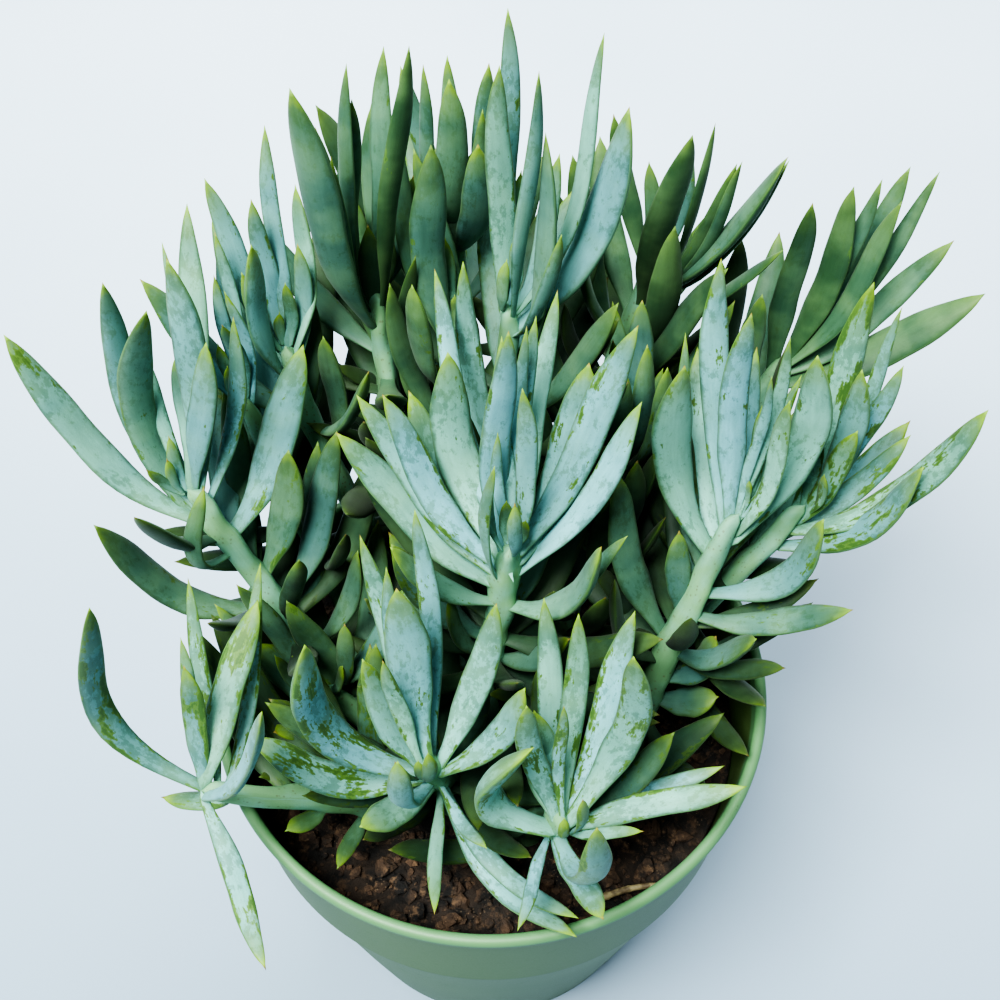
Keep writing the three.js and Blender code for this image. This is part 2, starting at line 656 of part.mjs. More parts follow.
const plant = new THREE.Group();
plant.name = "potted_chalk_sticks";
plant.add(part("pot", potSolid(), POT_PLASTIC));
plant.add(part("soil", soilSolid(STEMS.map(({ root }) => root)), SOIL_EARTH));
const courses = STEMS.map(stemCourse);
growLeaves(courses).forEach((leaves, stem) => {
  const pieces = [stemSolid(courses[stem]), ...leaves.map(leafSolid)];
  plant.add(part(STEMS[stem].name, largestBody(wasm.Manifold.union(pieces)), LEAF_BLUE));
});

export default plant;
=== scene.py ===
"""A potted big blue chalk sticks plant, dressed for Blender 4.5.

Every shape is a surface worked out with numpy in millimetres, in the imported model's frame, and goes
into a mesh in metres. +Z is up, the origin is the centre of the pot's flat underside, and the side
that the plant is seen from is -Y.
"""

import logging
import math
from collections.abc import Callable
from dataclasses import dataclass, field, replace
from enum import Enum
from typing import ClassVar

import bpy
import numpy as np
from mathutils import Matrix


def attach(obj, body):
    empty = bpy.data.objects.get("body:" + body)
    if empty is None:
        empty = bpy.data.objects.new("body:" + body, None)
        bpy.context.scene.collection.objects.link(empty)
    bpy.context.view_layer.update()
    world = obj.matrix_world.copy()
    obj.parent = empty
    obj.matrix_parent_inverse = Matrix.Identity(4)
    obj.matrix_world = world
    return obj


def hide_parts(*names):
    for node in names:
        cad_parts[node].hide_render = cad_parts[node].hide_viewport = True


log = logging.getLogger("chalk_sticks")

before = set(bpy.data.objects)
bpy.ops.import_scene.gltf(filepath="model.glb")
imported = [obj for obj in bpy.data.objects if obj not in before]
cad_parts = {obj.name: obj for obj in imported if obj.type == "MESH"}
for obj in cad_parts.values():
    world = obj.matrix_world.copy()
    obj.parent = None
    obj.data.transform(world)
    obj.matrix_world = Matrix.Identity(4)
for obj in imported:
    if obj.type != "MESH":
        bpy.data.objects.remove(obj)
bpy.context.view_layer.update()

MM = 0.001
BODY = "root"
FULL_TURN = 2.0 * math.pi
GOLDEN_ANGLE = 137.508
GOLDEN_SHARE = 0.6180339887498949
HASH_FACTORS = np.array([73856093, 19349663, 83492791], np.uint64)
HASH_SEED, HASH_MIX = 2654435761, np.uint64(1274126177)

Row = tuple[float, ...]


def unit(vectors: np.ndarray) -> np.ndarray:
    """Each vector divided by its own length."""
    return vectors / np.linalg.norm(vectors, axis=-1, keepdims=True)


def squared(vector: np.ndarray, axis: np.ndarray) -> np.ndarray:
    """The unit vector nearest to a vector that stands square to an axis."""
    return unit(vector - axis * np.dot(vector, axis))


def smooth(x: np.ndarray | float) -> np.ndarray:
    """A smooth step, 3t^2 - 2t^3, from 0 to 1 as x goes from 0 to 1."""
    t = np.clip(x, 0.0, 1.0)
    return t * t * (3.0 - 2.0 * t)


def hump(x: np.ndarray, width: np.ndarray | float) -> np.ndarray:
    """A smooth hump, e to the power of -(x / width)^2."""
    return np.exp(-((x / width) ** 2))


def turns(count: int) -> np.ndarray:
    """The angles of this many equal steps round a circle."""
    return FULL_TURN * np.arange(count) / count


def stacked(*parts: np.ndarray | float) -> np.ndarray:
    """Arrays spread to one shape and put side by side as the last axis."""
    return np.stack(np.broadcast_arrays(*parts), axis=-1)


def spread(count: float) -> float:
    """A number from -1 to 1 that looks drawn at random but is always the same for one count."""
    share = count * GOLDEN_SHARE
    return 2.0 * (share - math.floor(share)) - 1.0


def direction(heading: float, rise: float) -> np.ndarray:
    """The unit vector with this heading, from +X towards +Y, and this rise, both in degrees."""
    h, r = math.radians(heading), math.radians(rise)
    return np.array([math.cos(r) * math.cos(h), math.cos(r) * math.sin(h), math.sin(r)])


def bearings(vector: np.ndarray) -> tuple[float, float]:
    """The heading and the rise of a unit vector, in degrees."""
    return math.degrees(math.atan2(vector[1], vector[0])), math.degrees(math.asin(vector[2]))


def run_along(line: np.ndarray) -> np.ndarray:
    """How far along a line of points each of them lies."""
    return np.concatenate([[0.0], np.cumsum(np.linalg.norm(np.diff(line, axis=0), axis=1))])


def along_line(line: np.ndarray, distance: np.ndarray | float) -> np.ndarray:
    """The places at these distances along a line of points."""
    run = run_along(line)
    return np.stack([np.interp(distance, run, line[:, axis]) for axis in range(3)], axis=-1)


def linear(red: int, green: int, blue: int) -> Row:
    """A screen colour of 0 to 255 as Blender's linear colour, by the sRGB curve."""
    shares = [channel / 255.0 for channel in (red, green, blue)]
    return (*(s / 12.92 if s <= 0.04045 else ((s + 0.055) / 1.055) ** 2.4 for s in shares), 1.0)


def lattice_noise(points: np.ndarray, size: float, seed: int = 0) -> np.ndarray:
    """Smooth noise from -1 to 1.

    Each corner of a lattice of this cell size gets a number from a whole-number hash of its place,
    and a point blends the eight corners round it with smooth steps.

    Args:
        points: places, any shape with 3 last.
        size: the lattice's cell, in the points' own units.
        seed: picks another noise.

    Returns:
        One number for each point.
    """
    scaled = np.asarray(points, float) / size
    cell = np.floor(scaled).astype(np.int64)
    part = smooth(scaled - cell)
    total = np.zeros(scaled.shape[:-1])
    for corner in range(8):
        step = np.array([(corner >> axis) & 1 for axis in range(3)])
        mixed = np.bitwise_xor.reduce((cell + step).astype(np.uint64) * HASH_FACTORS, axis=-1)
        mixed ^= np.uint64(seed * HASH_SEED + 12345)
        mixed = (mixed ^ (mixed >> np.uint64(13))) * HASH_MIX
        mixed = (mixed ^ (mixed >> np.uint64(16))) & np.uint64(0xFFFF)
        value = mixed.astype(float) / 32767.5 - 1.0
        total += value * np.prod(np.where(step == 1, part, 1.0 - part), axis=-1)
    return total


@dataclass
class Shell:
    """A closed surface: points in millimetres, its faces, and marks that its finish reads.

    A mark has 3 numbers for each point. faces holds rows of 4 corners, where a triangle repeats its
    last corner, and finishes holds each face's material number.
    """

    points: np.ndarray
    faces: np.ndarray
    marks: dict[str, np.ndarray] = field(default_factory=dict)
    finishes: np.ndarray | None = None

    @classmethod
    def of_tubes(
        cls, rings: np.ndarray, first: np.ndarray | Row, last: np.ndarray | Row,
        marks: dict[str, np.ndarray] | None = None,
    ) -> "Shell":
        """Closed tubes over rings of points, each with a pole at either end.

        A ring runs anticlockwise seen from the end that the tube runs to, so the faces point
        outwards. A pole's marks are the mean of its nearest ring's.

        Args:
            rings: points, by tube, ring and corner; a lone tube may leave out the first axis.
            first: each tube's pole before its first ring.
            last: each tube's pole after its last ring.
            marks: each mark's numbers, laid out as rings is.

        Returns:
            The shell, with each tube's two poles after its rings.
        """
        rows, columns, _ = rings.shape[-3:]
        rings = rings.reshape(-1, rows * columns, 3)
        poles = [np.reshape(pole, (-1, 1, 3)) for pole in (first, last)]
        points = np.concatenate([rings, *poles], axis=1).reshape(-1, 3)
        row, column = np.meshgrid(np.arange(rows - 1), np.arange(columns), indexing="ij")
        a, b = row * columns + column, row * columns + (column + 1) % columns
        walls = stacked(a, b, b + columns, a + columns).reshape(-1, 4)
        side = np.arange(columns)
        after, top = (side + 1) % columns, (rows - 1) * columns
        foot_fan = stacked(rows * columns, after, side, side)
        end_fan = stacked(rows * columns + 1, top + side, top + after, top + after)
        faces = np.concatenate([walls, foot_fan, end_fan])
        starts = (rows * columns + 2) * np.arange(len(rings))
        made = cls(points, (faces[None] + starts[:, None, None]).reshape(-1, 4))
        for name, grid in (marks or {}).items():
            grid = grid.reshape(len(rings), rows, columns, 3)
            ends = [grid[:, end].mean(axis=1, keepdims=True) for end in (0, -1)]
            made.marks[name] = np.concatenate([grid.reshape(rings.shape), *ends], axis=1).reshape(-1, 3)
        return made

    @classmethod
    def joined(cls, shells: list["Shell"]) -> "Shell":
        """Many shells as one, with zeros for a mark that one of them lacks.

        Args:
            shells: the shells, in the order of their materials.

        Returns:
            One shell with their points and faces one after another.
        """
        names = sorted({name for shell in shells for name in shell.marks})
        starts = np.cumsum([0] + [len(shell.points) for shell in shells[:-1]])
        return cls(
            np.concatenate([shell.points for shell in shells]),
            np.concatenate([shell.faces + start for shell, start in zip(shells, starts)]),
            {
                name: np.concatenate([shell.marks.get(name, np.zeros_like(shell.points)) for shell in shells])
                for name in names
            },
            np.repeat(np.arange(len(shells)), [len(shell.faces) for shell in shells]),
        )

    def to_object(self, name: str, materials: list[bpy.types.Material]) -> bpy.types.Object:
        """Puts the shell into a smooth-shaded mesh object at the origin.

        Args:
            name: the piece's name.
            materials: its materials, by the numbers in finishes.

        Returns:
            The new object, linked to the scene.
        """
        is_quad = self.faces[:, 2] != self.faces[:, 3]
        totals = np.where(is_quad, 4, 3)
        keep = np.ones(self.faces.shape, bool)
        keep[:, 3] = is_quad
        corners = self.faces[keep]
        mesh = bpy.data.meshes.new(name)
        mesh.vertices.add(len(self.points))
        mesh.vertices.foreach_set("co", (self.points * MM).astype(np.float32).ravel())
        mesh.loops.add(len(corners))
        mesh.loops.foreach_set("vertex_index", corners.astype(np.int32))
        mesh.polygons.add(len(self.faces))
        mesh.polygons.foreach_set("loop_start", np.cumsum(totals) - totals)
        mesh.polygons.foreach_set("loop_total", totals)
        mesh.polygons.foreach_set("use_smooth", np.ones(len(self.faces), bool))
        for material in materials:
            mesh.materials.append(material)
        if self.finishes is not None:
            mesh.polygons.foreach_set("material_index", self.finishes.astype(np.int32))
        for mark, values in self.marks.items():
            layer = mesh.attributes.new(mark, "FLOAT_VECTOR", "POINT")
            layer.data.foreach_set("vector", values.astype(np.float32).ravel())
        mesh.update(calc_edges=True)
        mesh.validate()
        made = bpy.data.objects.new(name, mesh)
        bpy.context.scene.collection.objects.link(made)
        return made


class Growth(Enum):
    """How a leaf comes to be on its stem."""

    LISTED = "listed"
    RULED = "ruled"
    HEART = "heart"
    INNER = "inner"


@dataclass(frozen=True)
class StemPlan:
    """One leafy stem, in millimetres and degrees.

    root is where it leaves the soil and tip is its growing tip. lean is the heading and rise of its
    last stretch. more leaves are grown by rule between two headings. bloom is how much powdery wax its
    leaves carry and worn how much of it is rubbed off, both from 0 to 1, and young is how far below the
    tip the leaves still carry their full wax. A listed leaf is how far below the tip it sits, its
    heading, rise, length and width, and how deep it bows where that is set.
    """

    name: str
    root: Row
    tip: Row
    lean: Row
    more: int
    between: Row
    bloom: float
    worn: float
    young: float
    leaves: tuple[Row, ...]


STEMS = (
    StemPlan("stem_centre", (-6, -8), (6, -5, 234), (70, 84), 1, (60, 140), 0.95, 0.36, 10, (
        (8, 120, 60, 65, 12.5, 13), (8, 51, 59, 64, 13, 13), (12, 24, 56, 67, 8), (18, 154, 39, 66, 10.5, 6),
        (24, -31, 58, 55, 10.5, 9), (14, -171, 86, 51, 4.5), (9, 103, 50, 86, 8, 26), (6, 111, 47, 83, 6.5),
        (0, 95, 61, 60, 6, 2), (1, 87, 65, 68, 6), (3, 74, 53, 74, 6.5), (5, 53, 53, 79, 10),
        (14, 146, 40, 68, 9, 6), (10, 149, 53, 64, 9, 7), (24, -165, 50, 48, 8), (28, -12, 53, 56, 5.5),
        (1, 40, 87, 63, 6.5), (0, 110, 74, 38, 3.5), (9, 108, 83, 80, 8.5, 7), (2, 81, 65, 68, 4.5),
        (44, 170, 55, 50, 10), (50, -159, 70, 36, 8), (52, -31, 48, 40, 9), (56, 140, 40, 50, 10),
        (40, 60, 50, 56, 10),
    )),
    StemPlan("stem_front_left", (-14, -34), (-18, -53, 194), (250, 70), 1, (60, 120), 0.9, 0.62, 18, (
        (12, 178, 67, 74, 12.5, 17), (4, 106, 70, 64, 12.5, 7), (12, 87, 63, 86, 6.5), (10, 43, 67, 66, 9),
        (10, 7, 58, 50, 9, 7), (20, -172, 36, 60, 10.5, 10), (16, -116, 66, 42, 8, 8),
        (26, -132, 27, 34, 10), (6, 114, 65, 66, 5.5), (8, 114, 55, 74, 6.5), (3, 145, 66, 46, 7.5),
        (1, 125, 69, 44, 5), (30, -90, 8, 44, 4.5), (21, -52, -7, 61, 7.5, 26), (19, -46, -6, 58, 6.5, 26),
        (18, -62, 25, 36, 4),
    )),
    StemPlan("stem_front_right", (12, -44), (21, -65, 182), (290, 70), 0, (60, 120), 0.86, 0.72, 18, (
        (8, 178, 68, 50, 13, 16), (4, 113, 58, 39, 10), (4, 42, 73, 73, 10, 13), (6, 63, 52, 69, 9),
        (5, 84, 58, 67, 7.5, 8), (7, 97, 54, 70, 7.5, 9), (4, 117, 71, 56, 7.5, 6), (2, 94, 73, 47, 4, 5),
        (12, 1, 26, 57, 8, 0), (10, -73, 65, 59, 9, 12), (16, -70, 25, 39, 8, 3), (16, -106, 25, 42, 4, 0),
        (16, -22, 36, 32, 4, 1), (20, 13, 16, 54, 6.5, 4),
    )),
    StemPlan("stem_right", (47, -14), (74, 17, 220), (45, 62), 1, (60, 150), 0.95, 0.46, 15, (
        (15, 138, 72, 70, 13, 11), (6, 105, 65, 84, 9), (9, 30, 75, 71, 11.5, 13), (3, 103, 77, 72, 9),
        (4, 55, 81, 70, 4.5), (6, 12, 81, 56, 6.5), (2, 64, 86, 58, 3.5), (14, 55, 51, 58, 5),
        (28, -7, 53, 50, 10, 12), (36, -25, 33, 54, 9, 6), (39, 112, 71, 33, 8, 0), (48, 139, 66, 66, 10.5),
        (50, -45, 52, 44, 10), (62, -7, 59, 30, 10, 5), (70, -21, 28, 24, 10.5, 3), (28, 97, 49, 78, 5, 6),
    )),
    StemPlan("stem_left", (-55, 3), (-90, 23, 224), (150, 60), 1, (30, 100), 0.75, 0.35, 9, (
        (12, 166, 55, 81, 10, 14), (9, 138, 77, 83, 8.5, 18), (2, 55, 81, 84, 10.5),
        (20, 147, 86, 92, 10.5, 23), (0, 84, 54, 83, 8.5, 0), (0, 43, 70, 58, 9, 0), (5, 99, 43, 77, 4.5, 9),
        (7, 46, 68, 66, 6), (20, 46, 54, 67, 12.5), (24, -118, 82, 35, 6, 12), (49, -173, 47, 66, 10.5, 14),
        (38, 44, 67, 50, 11), (50, 45, 61, 66, 10), (54, -39, 72, 44, 8, 0), (60, 67, 50, 66, 9),
        (70, 7, 67, 54, 8), (6, 122, 67, 58, 4.5), (34, 100, 45, 56, 9),
    )),
    StemPlan("stem_low_left", (-34, -40), (-82, -55, 184), (190, 40), 1, (60, 120), 0.72, 0.8, 14, (
        (5, 165, 80, 92, 8, 21), (0, 71, 34, 56, 10, 0), (8, 80, 37, 67, 5, 6), (5, 100, 38, 62, 5, 7),
        (0, 96, 55, 47, 4.5, 3), (0, 88, 59, 41, 7, 3), (0, -28, 66, 82, 9, 5), (0, -65, -6, 53, 6.5, 3),
        (12, 167, -27, 30, 8, 3), (42, -135, 9, 16, 6.5, 1), (58, -106, 12, 24, 5.5, 1), (60, 90, 36, 50, 8),
    )),
    StemPlan("stem_back_left", (-24, 42), (-35, 73, 258), (110, 80), 3, (60, 170), 0.26, 0.2, 10, (
        (11, -129, 77, 96, 12, 4), (5, -153, 89, 83, 5.5), (4, -30, 79, 94, 7, 0), (0, 75, 70, 71, 7, 0),
        (8, 155, 89, 75, 8), (10, -134, 81, 66, 5), (24, 116, 86, 50, 8), (6, 131, 68, 57, 4),
        (30, -84, 40, 52, 10),
    )),
    StemPlan("stem_back", (4, 36), (5, 67, 258), (90, 80), 3, (50, 130), 0.8, 0.2, 14, (
        (4, 105, 84, 80, 8), (8, 7, 67, 81, 12.5, 10), (4, 12, 75, 94, 5.5), (5, 90, 78, 92, 7),
        (3, -46, 83, 88, 5, 1), (10, -45, 68, 54, 5.5), (29, 2, 84, 94, 8, 5), (40, -5, 58, 60, 9),
        (36, 170, 60, 60, 10), (52, -150, 50, 54, 10),
    )),
    StemPlan("stem_far_right", (46, 38), (95, 80, 222), (40, 58), 3, (60, 170), 0.22, 0.2, 8, (
        (6, 73, 83, 64, 8.5), (3, 34, 77, 67, 9), (4, 28, 70, 71, 6), (4, 35, 57, 74, 9), (6, 32, 48, 79, 6),
        (5, 16, 39, 67, 9), (8, 2, 30, 70, 13), (2, 7, 68, 68, 7.5), (12, -152, 79, 46, 8),
    )),
    StemPlan("stem_back_right", (24, 50), (51, 96, 248), (55, 65), 4, (50, 160), 0.25, 0.15, 8, (
        (6, -21, 77, 65, 4.5), (14, -77, 73, 87, 10, 0), (8, -47, 66, 71, 5), (10, -31, 60, 77, 7),
        (10, -37, 57, 81, 11, 4), (16, -31, 46, 62, 5.5), (13, -43, 64, 67, 8, 4), (34, -58, 75, 72, 11),
        (46, -17, 71, 77, 11, 0), (24, -150, 66, 54, 9),
    )),
    StemPlan("stem_outer_right", (54, 10), (96, 25, 214), (20, 60), 2, (30, 110), 0.75, 0.75, 14, (
        (9, -15, 57, 77, 10.5, 11), (16, -19, 47, 60, 10, 10), (4, 65, 67, 76, 10), (3, 40, 73, 75, 4.5),
        (6, 20, 82, 63, 9, 8), (3, 32, 70, 60, 6.5), (8, 24, 69, 44, 7.5), (14, 19, 41, 50, 7.5),
    )),
    StemPlan("stem_back_centre", (-12, 26), (-11, 64, 250), (95, 78), 2, (50, 130), 0.32, 0.2, 9, (
        (6, 128, 80, 70, 11), (7, 133, 72, 73, 6.5), (36, 158, 59, 60, 8), (42, 148, 71, 80, 8, 13),
        (20, -164, 76, 50, 10), (70, 140, 35, 52, 10), (60, 167, 62, 50, 9), (50, -60, 66, 48, 10),
    )),
    StemPlan("stem_far_left", (-34, 38), (-61, 57, 250), (120, 78), 2, (60, 170), 0.7, 0.2, 10, (
        (0, 91, 68, 65, 5.5, 0), (6, 115, 77, 54, 6.5), (10, -177, 84, 51, 9), (8, 58, 75, 42, 6),
        (40, 29, 84, 48, 9), (30, -48, 52, 50, 9),
    )),
    StemPlan("stem_left_back", (-46, 22), (-75, 48, 238), (140, 70), 2, (60, 160), 0.95, 0.25, 14, (
        (6, 101, 70, 57, 4.5), (8, 112, 71, 47, 4.5), (4, 56, 81, 40, 4.5),
    )),
    StemPlan("stem_far_back", (-8, 56), (-11, 103, 262), (95, 72), 4, (20, 160), 0.55, 0.2, 8, (
        (4, -90, 79, 62, 10), (6, -145, 82, 64, 5), (5, -101, 83, 64, 6.5), (4, -53, 79, 64, 8),
        (6, -58, 73, 58, 5.5), (10, -66, 66, 54, 10.5),
    )),
    StemPlan("stem_inner_right", (22, 16), (43, 52, 214), (60, 70), 3, (40, 150), 0.35, 0.2, 8, (
        (5, 74, 84, 60, 9), (6, -39, 85, 52, 8), (4, -111, 77, 48, 8), (10, -28, 73, 52, 9),
        (30, -22, 69, 44, 9), (40, -40, 76, 56, 10), (60, 22, 77, 60, 10.5), (50, -64, 77, 56, 9),
        (70, -61, 64, 48, 10),
    )),
    StemPlan("stem_inner_left", (-34, -14), (-56, -8, 160), (170, 45), 0, (90, 180), 0.4, 0.3, 8, (
        (8, 164, 45, 34, 10.5), (14, 80, 36, 62, 10), (8, 51, 76, 36, 6.5), (3, -15, 68, 22, 5.5),
        (3, 180, 72, 24, 5.5), (10, -133, 32, 30, 10), (4, 29, 44, 50, 9), (20, 127, 76, 56, 10),
    )),
)


@dataclass(frozen=True)
class PotSizes:
    """The pot's sizes in millimetres, as its solid has them."""

    height: float = 158.0
    rim_radius: float = 90.0
    lip_radius: float = 1.9
    collar_height: float = 48.0
    collar_foot_radius: float = 84.5
    collar_step: float = 1.6
    base_radius: float = 62.0
    base_edge: float = 2.5
    wall: float = 2.2
    floor: float = 3.0
    drain_holes: int = 4
    drain_radius: float = 4.5
    drain_ring_radius: float = 38.0
    soil_top: float = 130.0
    soil_relief: float = 1.6

    @property
    def collar_foot(self) -> float:
        """The height of the collar's foot."""
        return self.height - self.collar_height

    def inner_radius(self, height: np.ndarray | float) -> np.ndarray:
        """The inner radius: straight from the floor to the collar's foot, and from there to the rim.

        Args:
            height: heights above the pot's underside.

        Returns:
            The radius at each.
        """
        at_floor = self.base_radius - self.wall
        at_collar = self.collar_foot_radius - self.collar_step - self.wall
        at_rim = self.rim_radius - 2 * self.lip_radius
        low = at_floor + (at_collar - at_floor) * height / self.collar_foot
        high = at_collar + (at_rim - at_collar) * (height - self.collar_foot) / self.collar_height
        return np.where(np.asarray(height) > self.collar_foot, high, low)

    def soil_height(self, x: np.ndarray, y: np.ndarray) -> np.ndarray:
        """The soil's height: its mean, plus clods of crossed sine waves on a long swell."""
        clods = np.sin(x / 4.7 + 1.3 * np.sin(y / 6.1)) * np.cos(y / 5.3 + 0.9 * np.sin(x / 7.9))
        swell = np.sin(x / 21 + 0.6) * np.cos(y / 17)
        return self.soil_top + self.soil_relief * (0.65 * clods + 0.35 * swell)


POT = PotSizes()


@dataclass(frozen=True)
class Leaf:
    """One leaf: its root, how its blade lies, its sizes in millimetres, and how it came to be."""

    root: np.ndarray
    along: np.ndarray
    side: np.ndarray
    length: float
    width: float
    bow: float
    twist: float
    below: float
    growth: Growth


def gathered(leaves: list[Leaf], name: str) -> np.ndarray:
    """One field of every leaf, as an array."""
    return np.array([getattr(leaf, name) for leaf in leaves])


@dataclass
class Blades:
    """Frames across many leaves at many parts of their length, by leaf and part."""

    centre: np.ndarray
    side: np.ndarray
    normal: np.ndarray
    half_width: np.ndarray
    half_depth: np.ndarray


@dataclass(frozen=True)
class LeafForm:
    """The rules that shape every leaf of the solids: shares of its width and parts of its length."""

    thickness_share: float = 0.52
    depth_fill: float = 1.1
    seat_share: float = 0.55
    foot_share: float = 0.46
    foot_end: float = 0.42
    tip_start: float = 0.6
    tip_fullness: float = 0.62
    even_bow: float = 2.0
    early_bow: float = 3.375
    most_twist: float = 62.0
    twist_end: float = 0.6
    light: Row = (-90.0, 52.0)

    def width_share(self, part: np.ndarray) -> np.ndarray:
        """The share of the full width: it rises from the foot to the middle and is drawn in to a point.

        Args:
            part: parts of the length, 0 at the root and 1 at the end.

        Returns:
            The share at each part.
        """
        foot = self.foot_share + (1.0 - self.foot_share) * smooth(part / self.foot_end)
        end = np.clip((part - self.tip_start) / (1.0 - self.tip_start), 0.0, 1.0)
        return foot * (1.0 - end * end) ** self.tip_fullness

    def blades(self, leaves: list[Leaf], parts: np.ndarray) -> Blades:
        """Frames of leaves at parts of their length.

        The middle line leaves the straight line from root to end by the bow times
        2pr + 3.375pr^2, with p the part and r the rest, and the blade turns by the twist.

        Args:
            leaves: the leaves.
            parts: parts of the length.

        Returns:
            Arrays by leaf and part.
        """
        root, along, side = (gathered(leaves, name)[:, None] for name in ("root", "along", "side"))
        length, width, bow, twist = (
            gathered(leaves, name)[:, None, None] for name in ("length", "width", "bow", "twist")
        )
        part = parts[None, :, None]
        rest = 1.0 - part
        inner = np.cross(along, side)
        sag = bow * (self.even_bow * part * rest + self.early_bow * part * rest * rest)
        slope = bow * (self.even_bow * (rest - part) + self.early_bow * rest * (rest - 2.0 * part))
        tangent = unit(along * length - inner * slope)
        flat = np.cross(tangent, np.broadcast_to(side, tangent.shape))
        turn = twist * smooth(part / self.twist_end)
        share = self.width_share(part)
        return Blades(
            root + along * length * part - inner * sag,
            side * np.cos(turn) + flat * np.sin(turn),
            flat * np.cos(turn) - side * np.sin(turn),
            0.5 * width * share,
            0.5 * width * self.thickness_share * np.minimum(share * self.depth_fill, 1.0),
        )


@dataclass
class Standing:
    """What stands already: beads as rows of x, y, z, radius and part, and the ball that holds them."""

    beads: np.ndarray
    stem: int
    is_stem: bool

    def __post_init__(self) -> None:
        """Finds the ball round the middle bead that holds every bead."""
        self.middle = self.beads[len(self.beads) // 2, :3]
        apart = np.linalg.norm(self.beads[:, :3] - self.middle, axis=1)
        self.reach = float(np.max(apart + self.beads[:, 3]))


def window(reach: int, axes: int) -> np.ndarray:
    """The steps to every place of a lattice that lies within a reach along each of its axes."""
    steps = np.arange(-reach, reach + 1)
    return np.stack(np.meshgrid(*[steps] * axes, indexing="ij"), axis=-1).reshape(-1, axes)


@dataclass
class Room:
    """A lattice that holds, for each of its places, how far off the nearest bead's skin is.

    Only places near a bead are worked out; the others count as free.
    """

    low: Row = (-170.0, -150.0, 110.0)
    high: Row = (170.0, 180.0, 370.0)
    cell: float = 1.5
    reach: int = 4
    nothing_near: float = 99.0

    def __post_init__(self) -> None:
        """Lays out the empty lattice."""
        self.top = np.rint((np.array(self.high) - np.array(self.low)) / self.cell).astype(int)
        self.free = np.full(self.top + 1, self.nothing_near)
        self.offsets = window(self.reach, 3)

    def cells(self, points: np.ndarray) -> np.ndarray:
        """The nearest lattice place of each point."""
        return np.clip(np.rint((points - np.array(self.low)) / self.cell).astype(int), 0, self.top)

    def fill(self, beads: np.ndarray) -> None:
        """Takes beads into the lattice.

        Args:
            beads: rows that start with x, y, z and radius.
        """
        at = np.clip(self.cells(beads[:, :3])[:, None] + self.offsets[None], 0, self.top)
        places = at * self.cell + np.array(self.low)
        gaps = np.linalg.norm(places - beads[:, None, :3], axis=-1) - beads[:, None, 3]
        np.minimum.at(self.free, tuple(np.moveaxis(at, -1, 0)), gaps)

    def gaps(self, beads: np.ndarray) -> np.ndarray:
        """How far each bead's skin is from the nearest one in the lattice."""
        return self.free[tuple(np.moveaxis(self.cells(beads[..., :3]), -1, 0))] - beads[..., 3]


@dataclass
class FrontView:
    """What shows from the front: a lattice of sight lines, each with how near its first leaf is."""

    viewpoint: Row = (3.0, -218.1, 528.2)
    elevation: float = 52.0
    pitch: float = 0.0025
    half: int = 170
    reach: int = 4

    def __post_init__(self) -> None:
        """Lays out the empty lattice of sight lines."""
        rise = math.radians(self.elevation)
        ahead = [0.0, math.cos(rise), -math.sin(rise)]
        upward = [0.0, math.sin(rise), math.cos(rise)]
        self.axes = np.array([[1.0, 0.0, 0.0], upward, ahead])
        self.near = np.full((2 * self.half + 1, 2 * self.half + 1), np.inf)
        self.offsets = window(self.reach, 2)

    def seen(self, points: np.ndarray) -> tuple[np.ndarray, np.ndarray]:
        """Each point's sight line, by two lattice numbers, and its distance ahead."""
        local = (points - np.array(self.viewpoint)) @ self.axes.T
        return local[..., :2] / local[..., 2:] / self.pitch + self.half, local[..., 2]

    def fill(self, beads: np.ndarray) -> None:
        """Takes a leaf's beads into the lattice as discs.

        Args:
            beads: rows that start with x, y, z and radius.
        """
        line, ahead = self.seen(beads[:, :3])
        at = np.rint(line).astype(int)[:, None] + self.offsets[None]
        disc = (beads[:, 3] / ahead / self.pitch)[:, None] + 0.5
        apart = np.linalg.norm(at - line[:, None], axis=-1)
        inside = (apart <= disc) & np.all((at >= 0) & (at <= 2 * self.half), axis=-1)
        depth = np.broadcast_to(ahead[:, None], inside.shape)[inside]
        np.minimum.at(self.near, tuple(at[inside].T), depth)

    def covers(self, beads: np.ndarray) -> np.ndarray:
        """Counts the beads that stand in front of a leaf that shows.

        Args:
            beads: by leaf and bead.

        Returns:
            Each leaf's count.
        """
        line, ahead = self.seen(beads[..., :3])
        at = np.clip(np.rint(line).astype(int), 0, 2 * self.half)
        behind = self.near[at[..., 0], at[..., 1]]
        return np.sum(np.isfinite(behind) & (ahead < behind), axis=-1)


